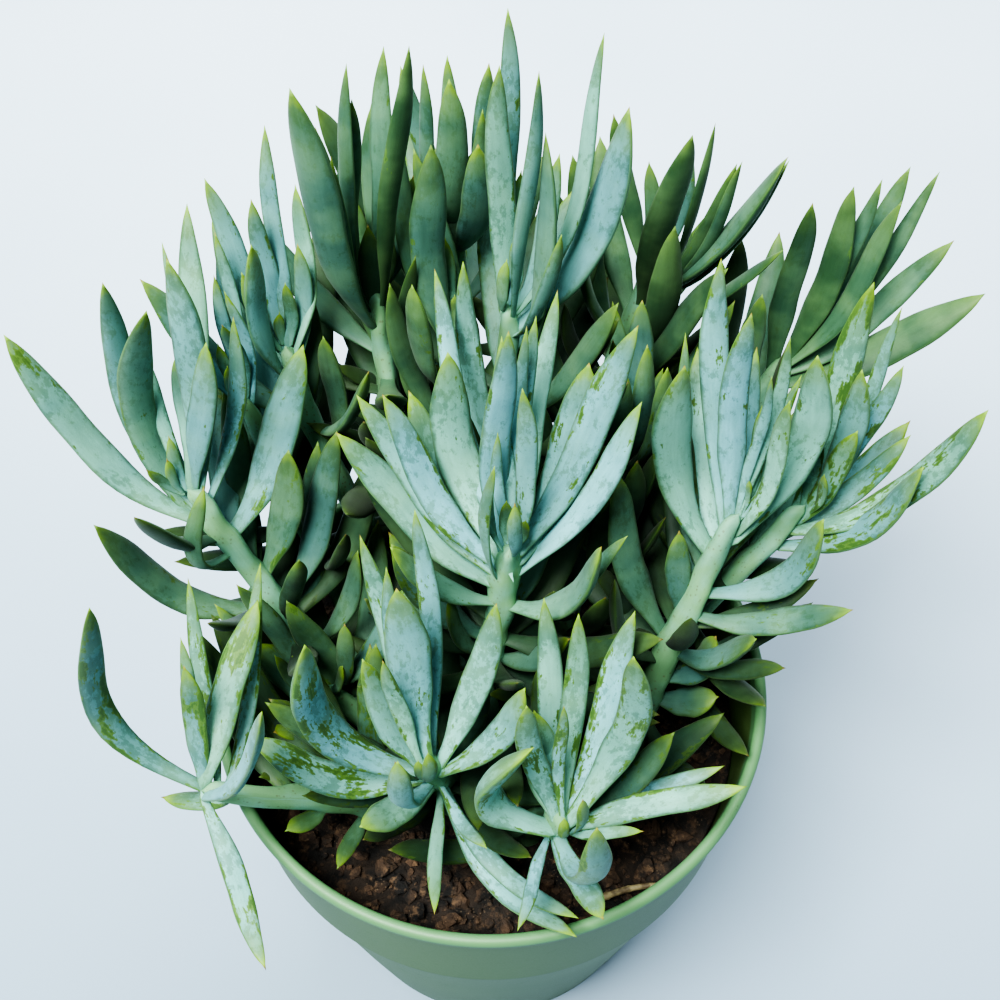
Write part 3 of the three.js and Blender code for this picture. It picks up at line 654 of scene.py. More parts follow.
@dataclass
class Thicket:
    """Grows every leaf of the plant, each bent clear of what stands already."""

    form: LeafForm = LeafForm()
    stem_radius: float = 4.7
    stem_arch: float = 0.35
    stem_steps: int = 48
    leaf_gap: float = 0.6
    nestled_gap: float = -0.6
    nestled_part: float = 0.4
    foot_part: float = 0.15
    solid_part: float = 0.3
    tucked_gap: float = 0.4
    most_ruled: int = 24
    beads_along: int = 14
    beads_across: Row = (-0.8, -0.3, 0.3, 0.8)
    swing_sizes: Row = (0.07, 0.14, 0.22, 0.32)
    shrinks: Row = (1.0, 0.88)
    inner_shrinks: Row = (1.0, 0.86, 0.72)
    hearts: int = 9
    heart_short: float = 26.0
    short_covers: int = 56
    long_covers: int = 20
    inner_covers: int = 2
    inner_tries: int = 44
    inner_most: int = 18
    middle: Row = (0.0, 25.0)
    inner_reach: Row = (100.0, 95.0)

    def __post_init__(self) -> None:
        """Lays out the swings to try, the stems' courses and what stands before any leaf."""
        angles = [math.radians(45.0 * turn) for turn in range(8)]
        self.swings = [(0.0, 0.0)] + [
            (size * math.cos(angle), size * math.sin(angle)) for size in self.swing_sizes for angle in angles
        ]
        self.courses = [self.course(plan) for plan in STEMS]
        self.standing: list[Standing] = []
        for stem, course in enumerate(self.courses):
            beads = stacked(*course.T, self.stem_radius, 1.0)
            self.standing.append(Standing(beads, stem, True))
        self.grown: list[list[Leaf]] = [[] for _ in STEMS]

    def course(self, plan: StemPlan) -> np.ndarray:
        """A stem's course above the soil: a cubic curve up out of the soil and over to the tip.

        Args:
            plan: the stem's plan.

        Returns:
            Points at equal steps of the curve's own parameter.
        """
        start = np.array([*plan.root, POT.soil_top], float)
        end = np.array(plan.tip, float)
        reach = self.stem_arch * np.linalg.norm(end - start)
        above = start + np.array([0.0, 0.0, reach])
        before = end - direction(*plan.lean) * reach
        t = np.linspace(0.0, 1.0, self.stem_steps + 1)[:, None]
        r = 1.0 - t
        return r**3 * start + 3 * r * r * t * above + 3 * r * t * t * before + t**3 * end

    @staticmethod
    def seat(course: np.ndarray, below: float) -> tuple[np.ndarray, np.ndarray]:
        """The point of a course that lies this far back from its end, and which way the stem grows there."""
        middle = along_line(course[::-1], below)
        return middle, unit(middle - along_line(course[::-1], below + 6))

    def leaf_at(self, course: np.ndarray, row: Row, growth: Growth) -> Leaf:
        """A leaf of a stem from its row: how far below the tip, heading, rise, length, width and bow.

        Its root stands on the stem's skin on the side that it heads for. The blade turns whichever
        face is nearer to the light.

        Args:
            course: the stem's course.
            row: the leaf's numbers, the bow left out where the rule gives it.
            growth: how it comes to be.

        Returns:
            The leaf.
        """
        below, heading, rise, length, width = row[:5]
        middle, growing = self.seat(course, below)
        end = middle + direction(heading, rise) * length
        root = middle + squared(direction(heading, 0), growing) * (self.form.seat_share * self.stem_radius)
        reach = float(np.linalg.norm(end - root))
        along = (end - root) / reach
        turn, steep = math.radians(heading), math.radians(rise)
        side = squared(np.array([-math.sin(turn), math.cos(turn), 0.0]), along)
        bow = row[5] if len(row) > 5 else reach * (0.055 + 0.07 * math.cos(steep))
        light = direction(*self.form.light)
        lit = np.sign(np.dot(np.cross(along, side), light))
        most = math.radians(self.form.most_twist)
        twist = float(-most * lit * np.dot(side, light) * math.sin(steep))
        return Leaf(root, along, side, reach, width, bow, twist, below, growth)

    def beads(self, leaves: list[Leaf]) -> np.ndarray:
        """Leaves as beads that fill their blades.

        Args:
            leaves: the leaves.

        Returns:
            By leaf and bead: x, y, z, radius and part of the length.
        """
        parts = (np.arange(self.beads_along) + 0.5) / self.beads_along
        blade = self.form.blades(leaves, parts)
        across = np.array(self.beads_across)[None, None, :, None]
        centres = blade.centre[:, :, None] + blade.side[:, :, None] * across * blade.half_width[:, :, None]
        radii = blade.half_depth[:, :, None] * np.sqrt(1.0 - across * across)
        spots = np.broadcast_to(parts[None, :, None, None], radii.shape)
        return np.concatenate([centres, radii, spots], axis=3).reshape(len(leaves), -1, 5)

    def clears_pot(self, beads: np.ndarray) -> np.ndarray:
        """Whether leaves keep clear of the pot's wall and of the soil, but for their feet.

        Args:
            beads: by leaf and bead.

        Returns:
            True or False for each leaf.
        """
        x, y, z, radius, part = np.moveaxis(beads, -1, 0)
        out, reach = np.hypot(x, y), radius + self.leaf_gap
        inside = POT.inner_radius(np.minimum(z, POT.height)) - reach
        over_soil = z - reach > POT.soil_top + POT.soil_relief
        past_rim = (z - reach > POT.height) | (out > POT.inner_radius(z) + 2 * POT.lip_radius + reach)
        return np.all((part < self.foot_part) | np.where(out < inside, over_soil, past_rim), axis=-1)

    def clears_others(self, beads: np.ndarray, stem: int) -> bool:
        """Whether a leaf's beads keep clear of what stands; leaves of one stem may nestle at the foot.

        Args:
            beads: the leaf's beads.
            stem: the number of the stem that it grows on.

        Returns:
            True where no bead comes within the gap of another thing's bead.
        """
        own = Standing(beads, stem, False)
        for other in self.standing:
            nestled = other.stem == stem
            far = math.dist(own.middle, other.middle) > own.reach + other.reach + self.leaf_gap
            if far or (other.is_stem and nestled):
                continue
            gap = self.nestled_gap if nestled else self.leaf_gap
            start = self.nestled_part if nestled else 0.0
            mine = beads[beads[:, 4] >= start]
            theirs = other.beads[other.beads[:, 4] >= start]
            between = mine[:, None, :3] - theirs[None, :, :3]
            reach = mine[:, None, 3] + theirs[None, :, 3] + gap
            if np.any(np.einsum("ijk,ijk->ij", between, between) < reach * reach):
                return False
        return True

    def swings_of(self, leaf: Leaf, shrink: float) -> list[Leaf]:
        """A leaf at a share of its size, swung about its root by each pair of slopes.

        Args:
            leaf: the leaf as wanted.
            shrink: the share of its size. The bow of a listed or ruled leaf stays as it is.

        Returns:
            The leaves to try, in order.
        """
        bow = leaf.bow if leaf.growth in (Growth.LISTED, Growth.RULED) else leaf.bow * shrink
        sized = replace(leaf, length=leaf.length * shrink, width=leaf.width * shrink, bow=bow)
        inner = np.cross(leaf.along, leaf.side)
        tried = []
        for sideways, inwards in self.swings:
            along = unit(leaf.along + leaf.side * sideways + inner * inwards)
            tried.append(replace(sized, along=along, side=squared(leaf.side, along)))
        return tried

    def add_leaf(self, stem: int, row: Row, growth: Growth) -> None:
        """Adds a leaf, bent clear of what stands already, and leaves it out where it finds no room.

        Args:
            stem: the number of its stem.
            row: its row of numbers.
            growth: how it comes to be.
        """
        leaf = self.leaf_at(self.courses[stem], row, growth)
        for shrink in self.shrinks:
            tried = self.swings_of(leaf, shrink)
            beads = self.beads(tried)
            for number in np.flatnonzero(self.clears_pot(beads)):
                if self.clears_others(beads[number], stem):
                    self.standing.append(Standing(beads[number], stem, False))
                    self.grown[stem].append(tried[number])
                    return

    def tuck_leaf(self, stem: int, row: Row, growth: Growth, most_covered: int) -> bool:
        """Adds a leaf where there is room between the others, without hiding what shows.

        Args:
            stem: the number of its stem.
            row: its row of numbers.
            growth: how it comes to be.
            most_covered: how many of its beads may stand in front of leaves that show from the front.

        Returns:
            False where it found no room and was left out.
        """
        leaf = self.leaf_at(self.courses[stem], row, growth)
        for shrink in self.inner_shrinks:
            tried = self.swings_of(leaf, shrink)
            beads = self.beads(tried)
            foot = beads[..., 4] < self.nestled_part
            clear = np.all((self.room.gaps(beads) > self.tucked_gap) | foot, axis=-1) & self.clears_pot(beads)
            clear &= self.view.covers(beads) <= most_covered
            ends = (beads[:, -1, :2] - np.array(self.middle)) / np.array(self.inner_reach)
            clear &= np.linalg.norm(ends, axis=-1) < 1.0
            if np.any(clear):
                number = int(np.argmax(clear))
                self.room.fill(beads[number][beads[number][:, 4] >= self.solid_part])
                self.grown[stem].append(tried[number])
                return True
        return False

    def ruled_row(self, stem: int, count: int, start: float, pitch: float, length: float) -> Row:
        """The row of a leaf placed by rule: a golden angle round the stem, opening out further down.

        Args:
            stem: the stem's number.
            count: the leaf's place in the rule.
            start: how far below the tip the rule starts.
            pitch: how far apart its leaves sit.
            length: their mean length.

        Returns:
            How far below the tip, heading, rise, length and width.
        """
        below = start + pitch * count
        _, growing = self.seat(self.courses[stem], below)
        out = squared(direction(GOLDEN_ANGLE * count + 40 * stem, 0), growing)
        opening = math.radians(36 + 1.4 * count + 6 * spread(count + stem))
        size = length + 6 * spread(3 * count + stem)
        along = growing * math.cos(opening) + out * math.sin(opening)
        return (below, *bearings(along), size, 3.5 + 0.11 * size)

    def grow(self) -> list[list[Leaf]]:
        """Grows all leaves: the listed ones, those of the rule, then small ones between them.

        Returns:
            Each stem's leaves.
        """
        for stem, plan in enumerate(STEMS):
            for row in plan.leaves:
                self.add_leaf(stem, row, Growth.LISTED)
        for stem, plan in enumerate(STEMS):
            wanted = len(self.grown[stem]) + plan.more
            for count in range(self.most_ruled):
                if len(self.grown[stem]) >= wanted:
                    break
                row = self.ruled_row(stem, count, 14.0, 3.6, 58.0)
                if plan.between[0] <= row[1] <= plan.between[1]:
                    self.add_leaf(stem, row, Growth.RULED)
        self.room, self.view = Room(), FrontView()
        for thing in self.standing:
            self.room.fill(thing.beads[thing.beads[:, 4] >= self.solid_part])
            if not thing.is_stem:
                self.view.fill(thing.beads)
        for stem, plan in enumerate(STEMS):
            self.add_hearts(stem, plan)
        for stem in range(len(STEMS)):
            self.add_inner(stem)
        return self.grown

    def add_hearts(self, stem: int, plan: StemPlan) -> None:
        """Adds young leaves round a growing tip: narrow, ever longer, and nearly in line with the stem.

        Args:
            stem: the stem's number.
            plan: its plan.
        """
        upright = unit(direction(*plan.lean) + np.array([0.0, 0.0, 0.35]))
        for count in range(self.hearts):
            out = direction(GOLDEN_ANGLE * count + 70 * stem, 10)
            length = 12.0 + 5.5 * count
            if out[1] < -0.3 and length > self.heart_short:
                continue
            along = unit(upright + (0.1 + 0.04 * count) * out)
            row = (0.3 * count, *bearings(along), length, 2.4 + 0.085 * length)
            covers = self.short_covers if length < self.heart_short else self.long_covers
            self.tuck_leaf(stem, row, Growth.HEART, covers)

    def add_inner(self, stem: int) -> None:
        """Adds shaded leaves down a stem, wherever there is still room for them.

        Args:
            stem: the stem's number.
        """
        reach = run_along(self.courses[stem])[-1]
        found = 0
        for count in range(self.inner_tries):
            row = self.ruled_row(stem, count, 15.0, 2.1, 64.0)
            if found >= self.inner_most or row[0] > reach - 12.0:
                break
            if row[2] > 12.0:
                found += self.tuck_leaf(stem, row, Growth.INNER, self.inner_covers)


@dataclass(frozen=True)
class Field:
    """A number, vector or colour that varies over a surface: one output of a node on a sheet."""

    sheet: "NodeSheet"
    socket: bpy.types.NodeSocket

    def __add__(self, other: "Field | float") -> "Field":
        """This plus another."""
        return self.sheet.math("ADD", self, other)

    def __sub__(self, other: "Field | float") -> "Field":
        """This less another."""
        return self.sheet.math("SUBTRACT", self, other)

    def __rsub__(self, other: float) -> "Field":
        """A plain number less this."""
        return self.sheet.math("SUBTRACT", other, self)

    def __mul__(self, other: "Field | float") -> "Field":
        """This times another."""
        return self.sheet.math("MULTIPLY", self, other)

    def step(self, start: "Field | float", end: "Field | float", low: float = 0, high: float = 1) -> "Field":
        """A smooth step of this number: low before start, high after end."""
        feeds = {"Value": self, "From Min": start, "From Max": end, "To Min": low, "To Max": high}
        return self.sheet.add("ShaderNodeMapRange", "Result", feeds, interpolation_type="SMOOTHSTEP")

    def stretched(self, *scale: float) -> "Field":
        """This vector with each axis scaled."""
        return self.sheet.add("ShaderNodeMapping", "Vector", {"Vector": self, "Scale": scale})

    def noise(self, scale: "Field | float", detail: float = 3.0, rough: float = 0.55) -> "Field":
        """Fractal noise from 0 to 1 at this vector."""
        feeds = {"Vector": self, "Scale": scale, "Detail": detail, "Roughness": rough}
        return self.sheet.add("ShaderNodeTexNoise", "Fac", feeds)

    def cells(self, scale: "Field | float") -> "Field":
        """How far this vector is from the nearest of scattered points."""
        return self.sheet.add("ShaderNodeTexVoronoi", "Distance", {"Vector": self, "Scale": scale})

    def towards(self, colour: "Field | Row", share: "Field | float", mode: str = "MIX") -> "Field":
        """This colour mixed with another by a share."""
        return self.sheet.mix(share, self, colour, mode)

    def shaded(self, factor: "Field") -> "Field":
        """This colour times a number."""
        grey = self.sheet.add("ShaderNodeCombineXYZ", "Vector", {axis: factor for axis in range(3)})
        return self.towards(grey, 1.0, "MULTIPLY")

    def parts(self) -> list["Field"]:
        """This vector's three numbers."""
        return self.sheet.fields(self.sheet.node("ShaderNodeSeparateXYZ", {"Vector": self}))


@dataclass(frozen=True)
class NodeSheet:
    """Writes nodes into one node tree. The constants are the Mix node's sockets for colours."""

    tree: bpy.types.NodeTree
    MIX_FACTOR: ClassVar[int] = 0
    MIX_FIRST: ClassVar[int] = 6
    MIX_SECOND: ClassVar[int] = 7
    MIX_RESULT: ClassVar[int] = 2

    def node(self, kind: str, feeds: dict | None = None, **settings) -> bpy.types.Node:
        """Adds a node.

        Args:
            kind: the node's Blender type.
            feeds: what each input socket gets, by its name or number: a field or a plain value.
            **settings: the node's own settings.

        Returns:
            The node.
        """
        node = self.tree.nodes.new(kind)
        for name, value in settings.items():
            setattr(node, name, value)
        self.feed(node, feeds or {})
        return node

    def feed(self, node: bpy.types.Node, feeds: dict) -> None:
        """Links fields into a node's input sockets, or sets their plain values.

        Args:
            node: the node.
            feeds: what each socket gets, by its name or number.
        """
        for name, value in feeds.items():
            if isinstance(value, Field):
                self.tree.links.new(value.socket, node.inputs[name])
            else:
                node.inputs[name].default_value = value

    def fields(self, node: bpy.types.Node) -> list[Field]:
        """All of a node's outputs."""
        return [Field(self, socket) for socket in node.outputs]

    def add(self, kind: str, output: str | int, feeds: dict | None = None, **settings) -> Field:
        """Adds a node, and gives one of its outputs."""
        return Field(self, self.node(kind, feeds, **settings).outputs[output])

    def math(self, operation: str, first: Field | float, second: Field | float) -> Field:
        """One arithmetic step on two numbers."""
        return self.add("ShaderNodeMath", 0, {0: first, 1: second}, operation=operation)

    def mix(self, share: Field | float, first: Field | Row, second: Field | Row, mode: str = "MIX") -> Field:
        """Two colours mixed by a share."""
        feeds = {self.MIX_FACTOR: share, self.MIX_FIRST: first, self.MIX_SECOND: second}
        return self.add("ShaderNodeMix", self.MIX_RESULT, feeds, data_type="RGBA", blend_type=mode)

    def mark(self, name: str) -> Field:
        """A mark of the mesh, by its name."""
        return self.add("ShaderNodeAttribute", "Vector", attribute_name=name, attribute_type="GEOMETRY")

    def place(self) -> Field:
        """Object coordinates, in metres."""
        return self.add("ShaderNodeTexCoord", "Object")


@dataclass
class Effect:
    """A shader node group.

    inputs and outputs give each socket's kind by its name, and rule works out the outputs' fields from
    the inputs'.
    """

    name: str
    inputs: dict[str, str]
    outputs: dict[str, str]
    rule: Callable[..., tuple[Field, ...]]

    def __post_init__(self) -> None:
        """Builds the group."""
        self.tree = bpy.data.node_groups.new(self.name, "ShaderNodeTree")
        for way, sockets in (("INPUT", self.inputs), ("OUTPUT", self.outputs)):
            for label, kind in sockets.items():
                self.tree.interface.new_socket(label, in_out=way, socket_type=f"NodeSocket{kind}")
        sheet = NodeSheet(self.tree)
        given = sheet.fields(sheet.node("NodeGroupInput"))[:len(self.inputs)]
        sheet.node("NodeGroupOutput", dict(zip(self.outputs, self.rule(*given))))

    def on(self, sheet: NodeSheet, *values: Field | Row | float) -> list[Field]:
        """The group placed on a sheet, with its inputs fed in order: its outputs."""
        node = sheet.node("ShaderNodeGroup", node_tree=self.tree)
        sheet.feed(node, dict(zip(self.inputs, values)))
        return sheet.fields(node)


def slow_drift(at: Field, scale: Field, first: Field, second: Field) -> tuple[Field]:
    """A slow drift between two colours: noise picks the share of the second."""
    return (first.towards(second, at.noise(scale, 3.0, 0.5).step(0.36, 0.66)),)


def flecks(at: Field, scale: Field, size: Field, crowding: Field) -> tuple[Field]:
    """Small round flecks, thinned out by a noise so that they come in loose crowds.

    Args:
        at: the place.
        scale: how close the flecks lie.
        size: their size, from 0 to 1.
        crowding: how much of the surface has them, from 0 to 1.

    Returns:
        Where the flecks are.
    """
    dots = at.cells(scale).step(size, size * 0.45)
    start = 0.86 - crowding * 0.5
    return (dots * at.noise(scale * 0.13, 2.0).step(start, start + 0.08),)


def powder_coat(at: Field, strength: Field) -> tuple[Field, Field]:
    """A dusty, faintly streaked coat.

    Args:
        at: the place, with the streaks along its second axis.
        strength: how strong the coat's shade is.

    Returns:
        A shade factor about 1, and a height for bump.
    """
    grains = at.noise(2600.0, 2.0, 0.6)
    streaks = at.stretched(900.0, 70.0, 900.0).noise(1.0, 3.0, 0.6)
    total = grains * 0.3 + streaks * 0.4 + at.noise(140.0) * 0.3
    return (total - 0.5) * strength + 1.0, grains + streaks * 0.5


class SharedEffects:
    """The node groups that more than one finish uses."""

    def __init__(self) -> None:
        """Builds each group once."""
        at = {"Vector": "Vector"}
        scaled = at | {"Scale": "Float"}
        colours = {"First": "Color", "Second": "Color"}
        self.drift = Effect("slow_drift", scaled | colours, {"Color": "Color"}, slow_drift)
        crowded = scaled | {"Size": "Float", "Crowding": "Float"}
        self.flecks = Effect("flecks", crowded, {"Mask": "Float"}, flecks)
        coat = {"Shade": "Float", "Height": "Float"}
        self.powder = Effect("powder_coat", at | {"Strength": "Float"}, coat, powder_coat)


@dataclass(frozen=True)
class Look:
    """What a finish feeds to its shader; bump is the bump's strength and its distance in metres."""

    colour: Field
    roughness: Field | float
    height: Field | None = None
    bump: tuple[float, float] = (0.0, 0.0)


class Finish:
    """A procedural material: constants holds its shader's plain values, and paint works out the rest."""

    name: str
    constants: ClassVar[dict[str, float]] = {}

    def paint(self, sheet: NodeSheet, shared: SharedEffects) -> Look:
        """Works out the finish's look on a sheet; each finish has its own way."""
        raise NotImplementedError

    def material(self, shared: SharedEffects) -> bpy.types.Material:
        """Builds the material.

        Args:
            shared: the shared node groups.

        Returns:
            The material, with one Principled shader.
        """
        material = bpy.data.materials.new(self.name)
        material.use_nodes = True
        material.node_tree.nodes.clear()
        sheet = NodeSheet(material.node_tree)
        shader = sheet.node("ShaderNodeBsdfPrincipled")
        sheet.node("ShaderNodeOutputMaterial", {"Surface": Field(sheet, shader.outputs["BSDF"])})
        look = self.paint(sheet, shared)
        sheet.feed(shader, {"Base Color": look.colour, "Roughness": look.roughness, **self.constants})
        if look.height is not None:
            bump = {"Strength": look.bump[0], "Distance": look.bump[1], "Height": look.height}
            sheet.feed(shader, {"Normal": sheet.add("ShaderNodeBump", "Normal", bump)})
        return material


@dataclass(frozen=True)
class LeafFinish(Finish):
    """The leaf's skin: green flesh under a pale blue wax that is thin, streaked and rubbed in places.

    It reads the leaf's marks. leaf_run is millimetres across and along the leaf and a number of its
    own. leaf_marks is millimetres from the tip, 0 to 1 from the middle to the blade's edge, and the
    part along it. leaf_nature is its wax, its wear and its tone. leaf_face is how far out on its outer
    side, how scorched its tip is, and a darkening mark: the leaf's age, plus painted shade on the
    shaded inner leaves.
    """

    name: str = "leaf_skin"
    flesh_dark: Row = linear(44, 74, 40)
    flesh_light: Row = linear(78, 108, 64)
    wax_blue: Row = linear(120, 178, 188)
    wax_mint: Row = linear(130, 188, 172)
    rubbed: Row = linear(88, 122, 52)
    rubbed_dark: Row = linear(46, 80, 38)
    tip: Row = linear(118, 148, 42)
    tip_point: Row = linear(122, 92, 44)
    rim: Row = linear(100, 146, 66)
    foot: Row = linear(84, 128, 94)
    fleck: Row = linear(44, 72, 46)
    wax_roughness: float = 0.6
    flesh_roughness: float = 0.54
    constants: ClassVar[dict[str, float]] = {"IOR": 1.33, "Sheen Weight": 0.04, "Sheen Roughness": 0.5}

    def paint(self, sheet: NodeSheet, shared: SharedEffects) -> Look:
        """Lays wax over flesh, with its wear, and over both the rim, the lime tip, the foot and flecks.

        Args:
            sheet: the material's sheet.
            shared: the shared node groups.

        Returns:
            The look.
        """
        run = sheet.mark("leaf_run").stretched(MM, MM, MM)
        from_tip, edge, part = sheet.mark("leaf_marks").parts()
        bloom, worn, tone = sheet.mark("leaf_nature").parts()
        # The third part of leaf_face is the darkening mark: age, plus painted shade on the inner leaves.
        outer, scorched, older = sheet.mark("leaf_face").parts()
        flesh = shared.drift.on(sheet, run, 60.0, self.flesh_dark, self.flesh_light)[0]
        wax = sheet.mix(tone.step(0.1, 0.9), self.wax_blue, self.wax_mint)
        grain, height = shared.powder.on(sheet, run, 0.8)
        wear, deep = self.wear(run, edge, worn)
        ragged = run.stretched(1.0, 0.4, 1.0).noise(420.0, 3.0, 0.6) - 0.5
        cover = bloom * (1.0 - wear)
        cover *= run.stretched(1.0, 0.3, 1.0).noise(210.0, 4.0, 0.65).step(0.34, 0.66, 0.8, 1.0)
        cover *= outer.step(0.1, 0.8, 1.0, 0.6)
        cover *= (edge + ragged * 0.3).step(0.74, 1.0, 1.0, 0.3)
        cover *= (from_tip + ragged * 16.0).step(24.0, 2.0, 1.0, 0.45)
        cover *= 1.0 - self.mottles(run, from_tip, edge, worn) * 0.42
        specks = shared.flecks.on(sheet, run.stretched(1.0, 0.35, 1.0), 620.0, 0.24, 0.42)[0]
        colour = flesh
        for other, share in (
            (wax, cover),
            (self.rubbed, wear * 0.72),
            (self.rubbed_dark, deep * 0.6),
            (self.rim, self.rim_share(run, from_tip, edge) * bloom.step(0.1, 0.6, 0.3, 1.0)),
            (self.tip, self.tip_share(run, from_tip, edge) * bloom.step(0.0, 0.5, 0.45, 1.0)),
            (self.tip_point, from_tip.step(0.9, 0.0, 0.0, 0.8) * scorched.step(0.6, 0.7)),
            (self.foot, part.step(0.12, 0.0, 0.0, 0.35)),
            (self.fleck, specks * 0.4),
        ):
            colour = colour.towards(other, share)
        # Painted shade and age: the darkening mark dims the colour to as little as 0.45; older leaves down
        # the stem get part of it, and the shaded inner leaves get most of it as painted shade.
        colour = colour.shaded(grain * older.step(0.0, 1.0, 1.0, 0.45))
        rough = cover.step(0.0, 0.8, self.flesh_roughness, self.wax_roughness)
        return Look(colour, rough, height, (0.22, 0.0003))

    @staticmethod
    def wear(run: Field, edge: Field, worn: Field) -> tuple[Field, Field]:
        """Where the wax is rubbed off: long ragged patches, most along the edges, with darker hearts.

        Noise drawn out along the leaf, plus finer noises for the ragged border, plus a share for the
        edge, is stepped at a level that the leaf's own wear lowers.

        Args:
            run: the place on the leaf.
            edge: 0 to 1 from the middle to the edge.
            worn: the leaf's wear.

        Returns:
            The share of the patches and that of their hearts.
        """
        patches = run.stretched(1.0, 0.3, 1.0).noise(210.0, 2.0, 0.5)
        ragged = run.stretched(1.0, 0.5, 1.0).noise(900.0, 3.0, 0.6) - 0.5
        scratches = run.stretched(1.0, 0.12, 1.0).noise(1500.0, 1.0, 0.4) - 0.5
        level = patches + ragged * 0.5 + scratches * 0.32 + edge.step(0.3, 0.95, 0.0, 0.11)
        start = 0.83 - worn * 0.28
        return level.step(start, start + 0.05), level.step(start + 0.07, start + 0.12)

    @staticmethod
    def mottles(run: Field, from_tip: Field, edge: Field, worn: Field) -> Field:
        """Small ragged spots with thinner wax: fine noise, crowded by a slow one and towards tip and edge."""
        drawn = run.stretched(1.0, 0.5, 1.0)
        level = drawn.noise(560.0, 4.0, 0.7) + (drawn.noise(80.0, 2.0) - 0.5) * 0.6
        level = level + from_tip.step(26.0, 2.0, 0.0, 0.08) + edge.step(0.4, 1.0, 0.0, 0.06)
        return (level + worn * 0.1).step(0.57, 0.68)

    @staticmethod
    def tip_share(run: Field, from_tip: Field, edge: Field) -> Field:
        """How lime the skin is: strong in the last few millimetres, and further down by the edges."""
        reach = from_tip - run.noise(260.0, 2.0) * 5.0 - edge * 2.0
        strong, faint = reach.step(3.5, -3.0, 0.0, 0.85), reach.step(10.0, -1.0, 0.0, 0.24)
        return reach.sheet.math("MAXIMUM", strong, faint)

    @staticmethod
    def rim_share(run: Field, from_tip: Field, edge: Field) -> Field:
        """How much of the pale rim shows: a thin line on the blade's edge, clearest by the tip."""
        line = edge.step(0.9, 0.995) * run.noise(130.0).step(0.35, 0.6)
        return line * from_tip.step(40.0, 4.0, 0.14, 0.6)


@dataclass(frozen=True)
class StemFinish(Finish):
    """The stem's skin: pale mint green, browner and scarred towards the soil.

    stem_run is millimetres round and up the stem and a number of its own. stem_marks is its age, from
    0 at the tip to 1 at the soil, and its scars.
    """

    name: str = "stem_skin"
    pale: Row = linear(106, 148, 106)
    waxed: Row = linear(108, 156, 130)
    aged: Row = linear(74, 100, 66)
    scar: Row = linear(92, 74, 50)
    roughness: float = 0.6
    constants: ClassVar[dict[str, float]] = {"IOR": 1.33}

    def paint(self, sheet: NodeSheet, shared: SharedEffects) -> Look:
        """Lets two greens drift, then adds age, scars and flecks.

        Args:
            sheet: the material's sheet.
            shared: the shared node groups.

        Returns:
            The look.
        """
        run = sheet.mark("stem_run").stretched(MM, MM, MM)
        age, scar, _ = sheet.mark("stem_marks").parts()
        skin = shared.drift.on(sheet, run, 90.0, self.pale, self.waxed)[0]
        specks = shared.flecks.on(sheet, run, 560.0, 0.3, 0.9)[0]
        grain, height = shared.powder.on(sheet, run, 0.5)
        scars = (scar + run.noise(900.0, 3.0) * 0.5).step(0.75, 1.05)
        colour = skin.towards(self.aged, age.step(0.5, 1.0, 0.0, 0.7))
        colour = colour.towards(self.scar, scars * 0.75).towards(self.scar, specks * 0.45).shaded(grain)
        return Look(colour, scars.step(0.0, 1.0, self.roughness, 0.85), height, (0.3, 0.0004))


@dataclass(frozen=True)
class PotFinish(Finish):
    """Satin sage-green plastic with a fine moulded grain, faint scuffs and a paler lip, partly worn and
    partly a painted highlight along its round top.
    """

    name: str = "pot_plastic"
    green: Row = linear(77, 100, 56)
    deep: Row = linear(67, 90, 48)
    lip: Row = linear(86, 130, 88)
    smear: Row = linear(70, 66, 50)
    roughness: float = 0.44
    constants: ClassVar[dict[str, float]] = {"IOR": 1.46}

    def paint(self, sheet: NodeSheet, shared: SharedEffects) -> Look:
        """Lets two greens drift, then adds the paler lip by height, partly a painted highlight, scuffs and
        smears.

        Args:
            sheet: the material's sheet.
            shared: the shared node groups.

        Returns:
            The look.
        """
        place = sheet.place()
        foot, line = ((POT.height - share * POT.lip_radius) * MM for share in (3.4, 2.2))
        # Partly painted highlight: the band round the lip is painted paler, like the light along its round
        # top, besides its wear.
        on_lip = place.parts()[2].step(foot, line, 0.0, 0.85)
        scuffs = place.stretched(1.0, 1.0, 6.0).noise(150.0, 4.0, 0.65).step(0.62, 0.76)
        smears = shared.flecks.on(sheet, place, 520.0, 0.26, 0.5)[0]
        plastic = shared.drift.on(sheet, place, 9.0, self.green, self.deep)[0]
        colour = plastic.towards(self.lip, on_lip).towards(self.lip, scuffs * 0.16)
        grain = place.noise(1900.0, 2.0, 0.5)
        waves = place.stretched(1.0, 1.0, 0.4).noise(40.0, 2.0, 0.5)
        rough = grain * 0.12 + self.roughness + scuffs * 0.15
        return Look(colour.towards(self.smear, smears * 0.35), rough, grain + waves * 2.0, (0.12, 0.0003))


@dataclass(frozen=True)
class SoilFinish(Finish):
    """Damp brown potting soil: near-black patches that are partly its own colour and partly painted shade,
    reddish clods and a few pale fibres.
    """

    name: str = "potting_soil"
    dark: Row = linear(9, 8, 6)
    brown: Row = linear(42, 32, 23)
    red: Row = linear(84, 64, 45)
    pale: Row = linear(140, 118, 92)
    roughness: float = 0.92

    def paint(self, sheet: NodeSheet, shared: SharedEffects) -> Look:
        """Lets two browns drift, then adds reddish clods and pale grit.

        Args:
            sheet: the material's sheet.
            shared: the shared node groups.

        Returns:
            The look.
        """
        place = sheet.place()
        # Partly painted shade: the drift to near black stands in for the shade of hollows, as well as dark
        # soil.
        soil = shared.drift.on(sheet, place, 130.0, self.dark, self.brown)[0]
        clods = place.noise(310.0, 4.0, 0.65).step(0.5, 0.72)
        grit = shared.flecks.on(sheet, place, 900.0, 0.28, 0.62)[0]
        colour = soil.towards(self.red, clods * 0.7).towards(self.pale, grit * 0.35)
        rough = place.noise(60.0, 2.0).step(0.35, 0.6, 0.78, self.roughness)
        return Look(colour, rough, place.noise(700.0, 4.0, 0.7), (0.9, 0.0012))


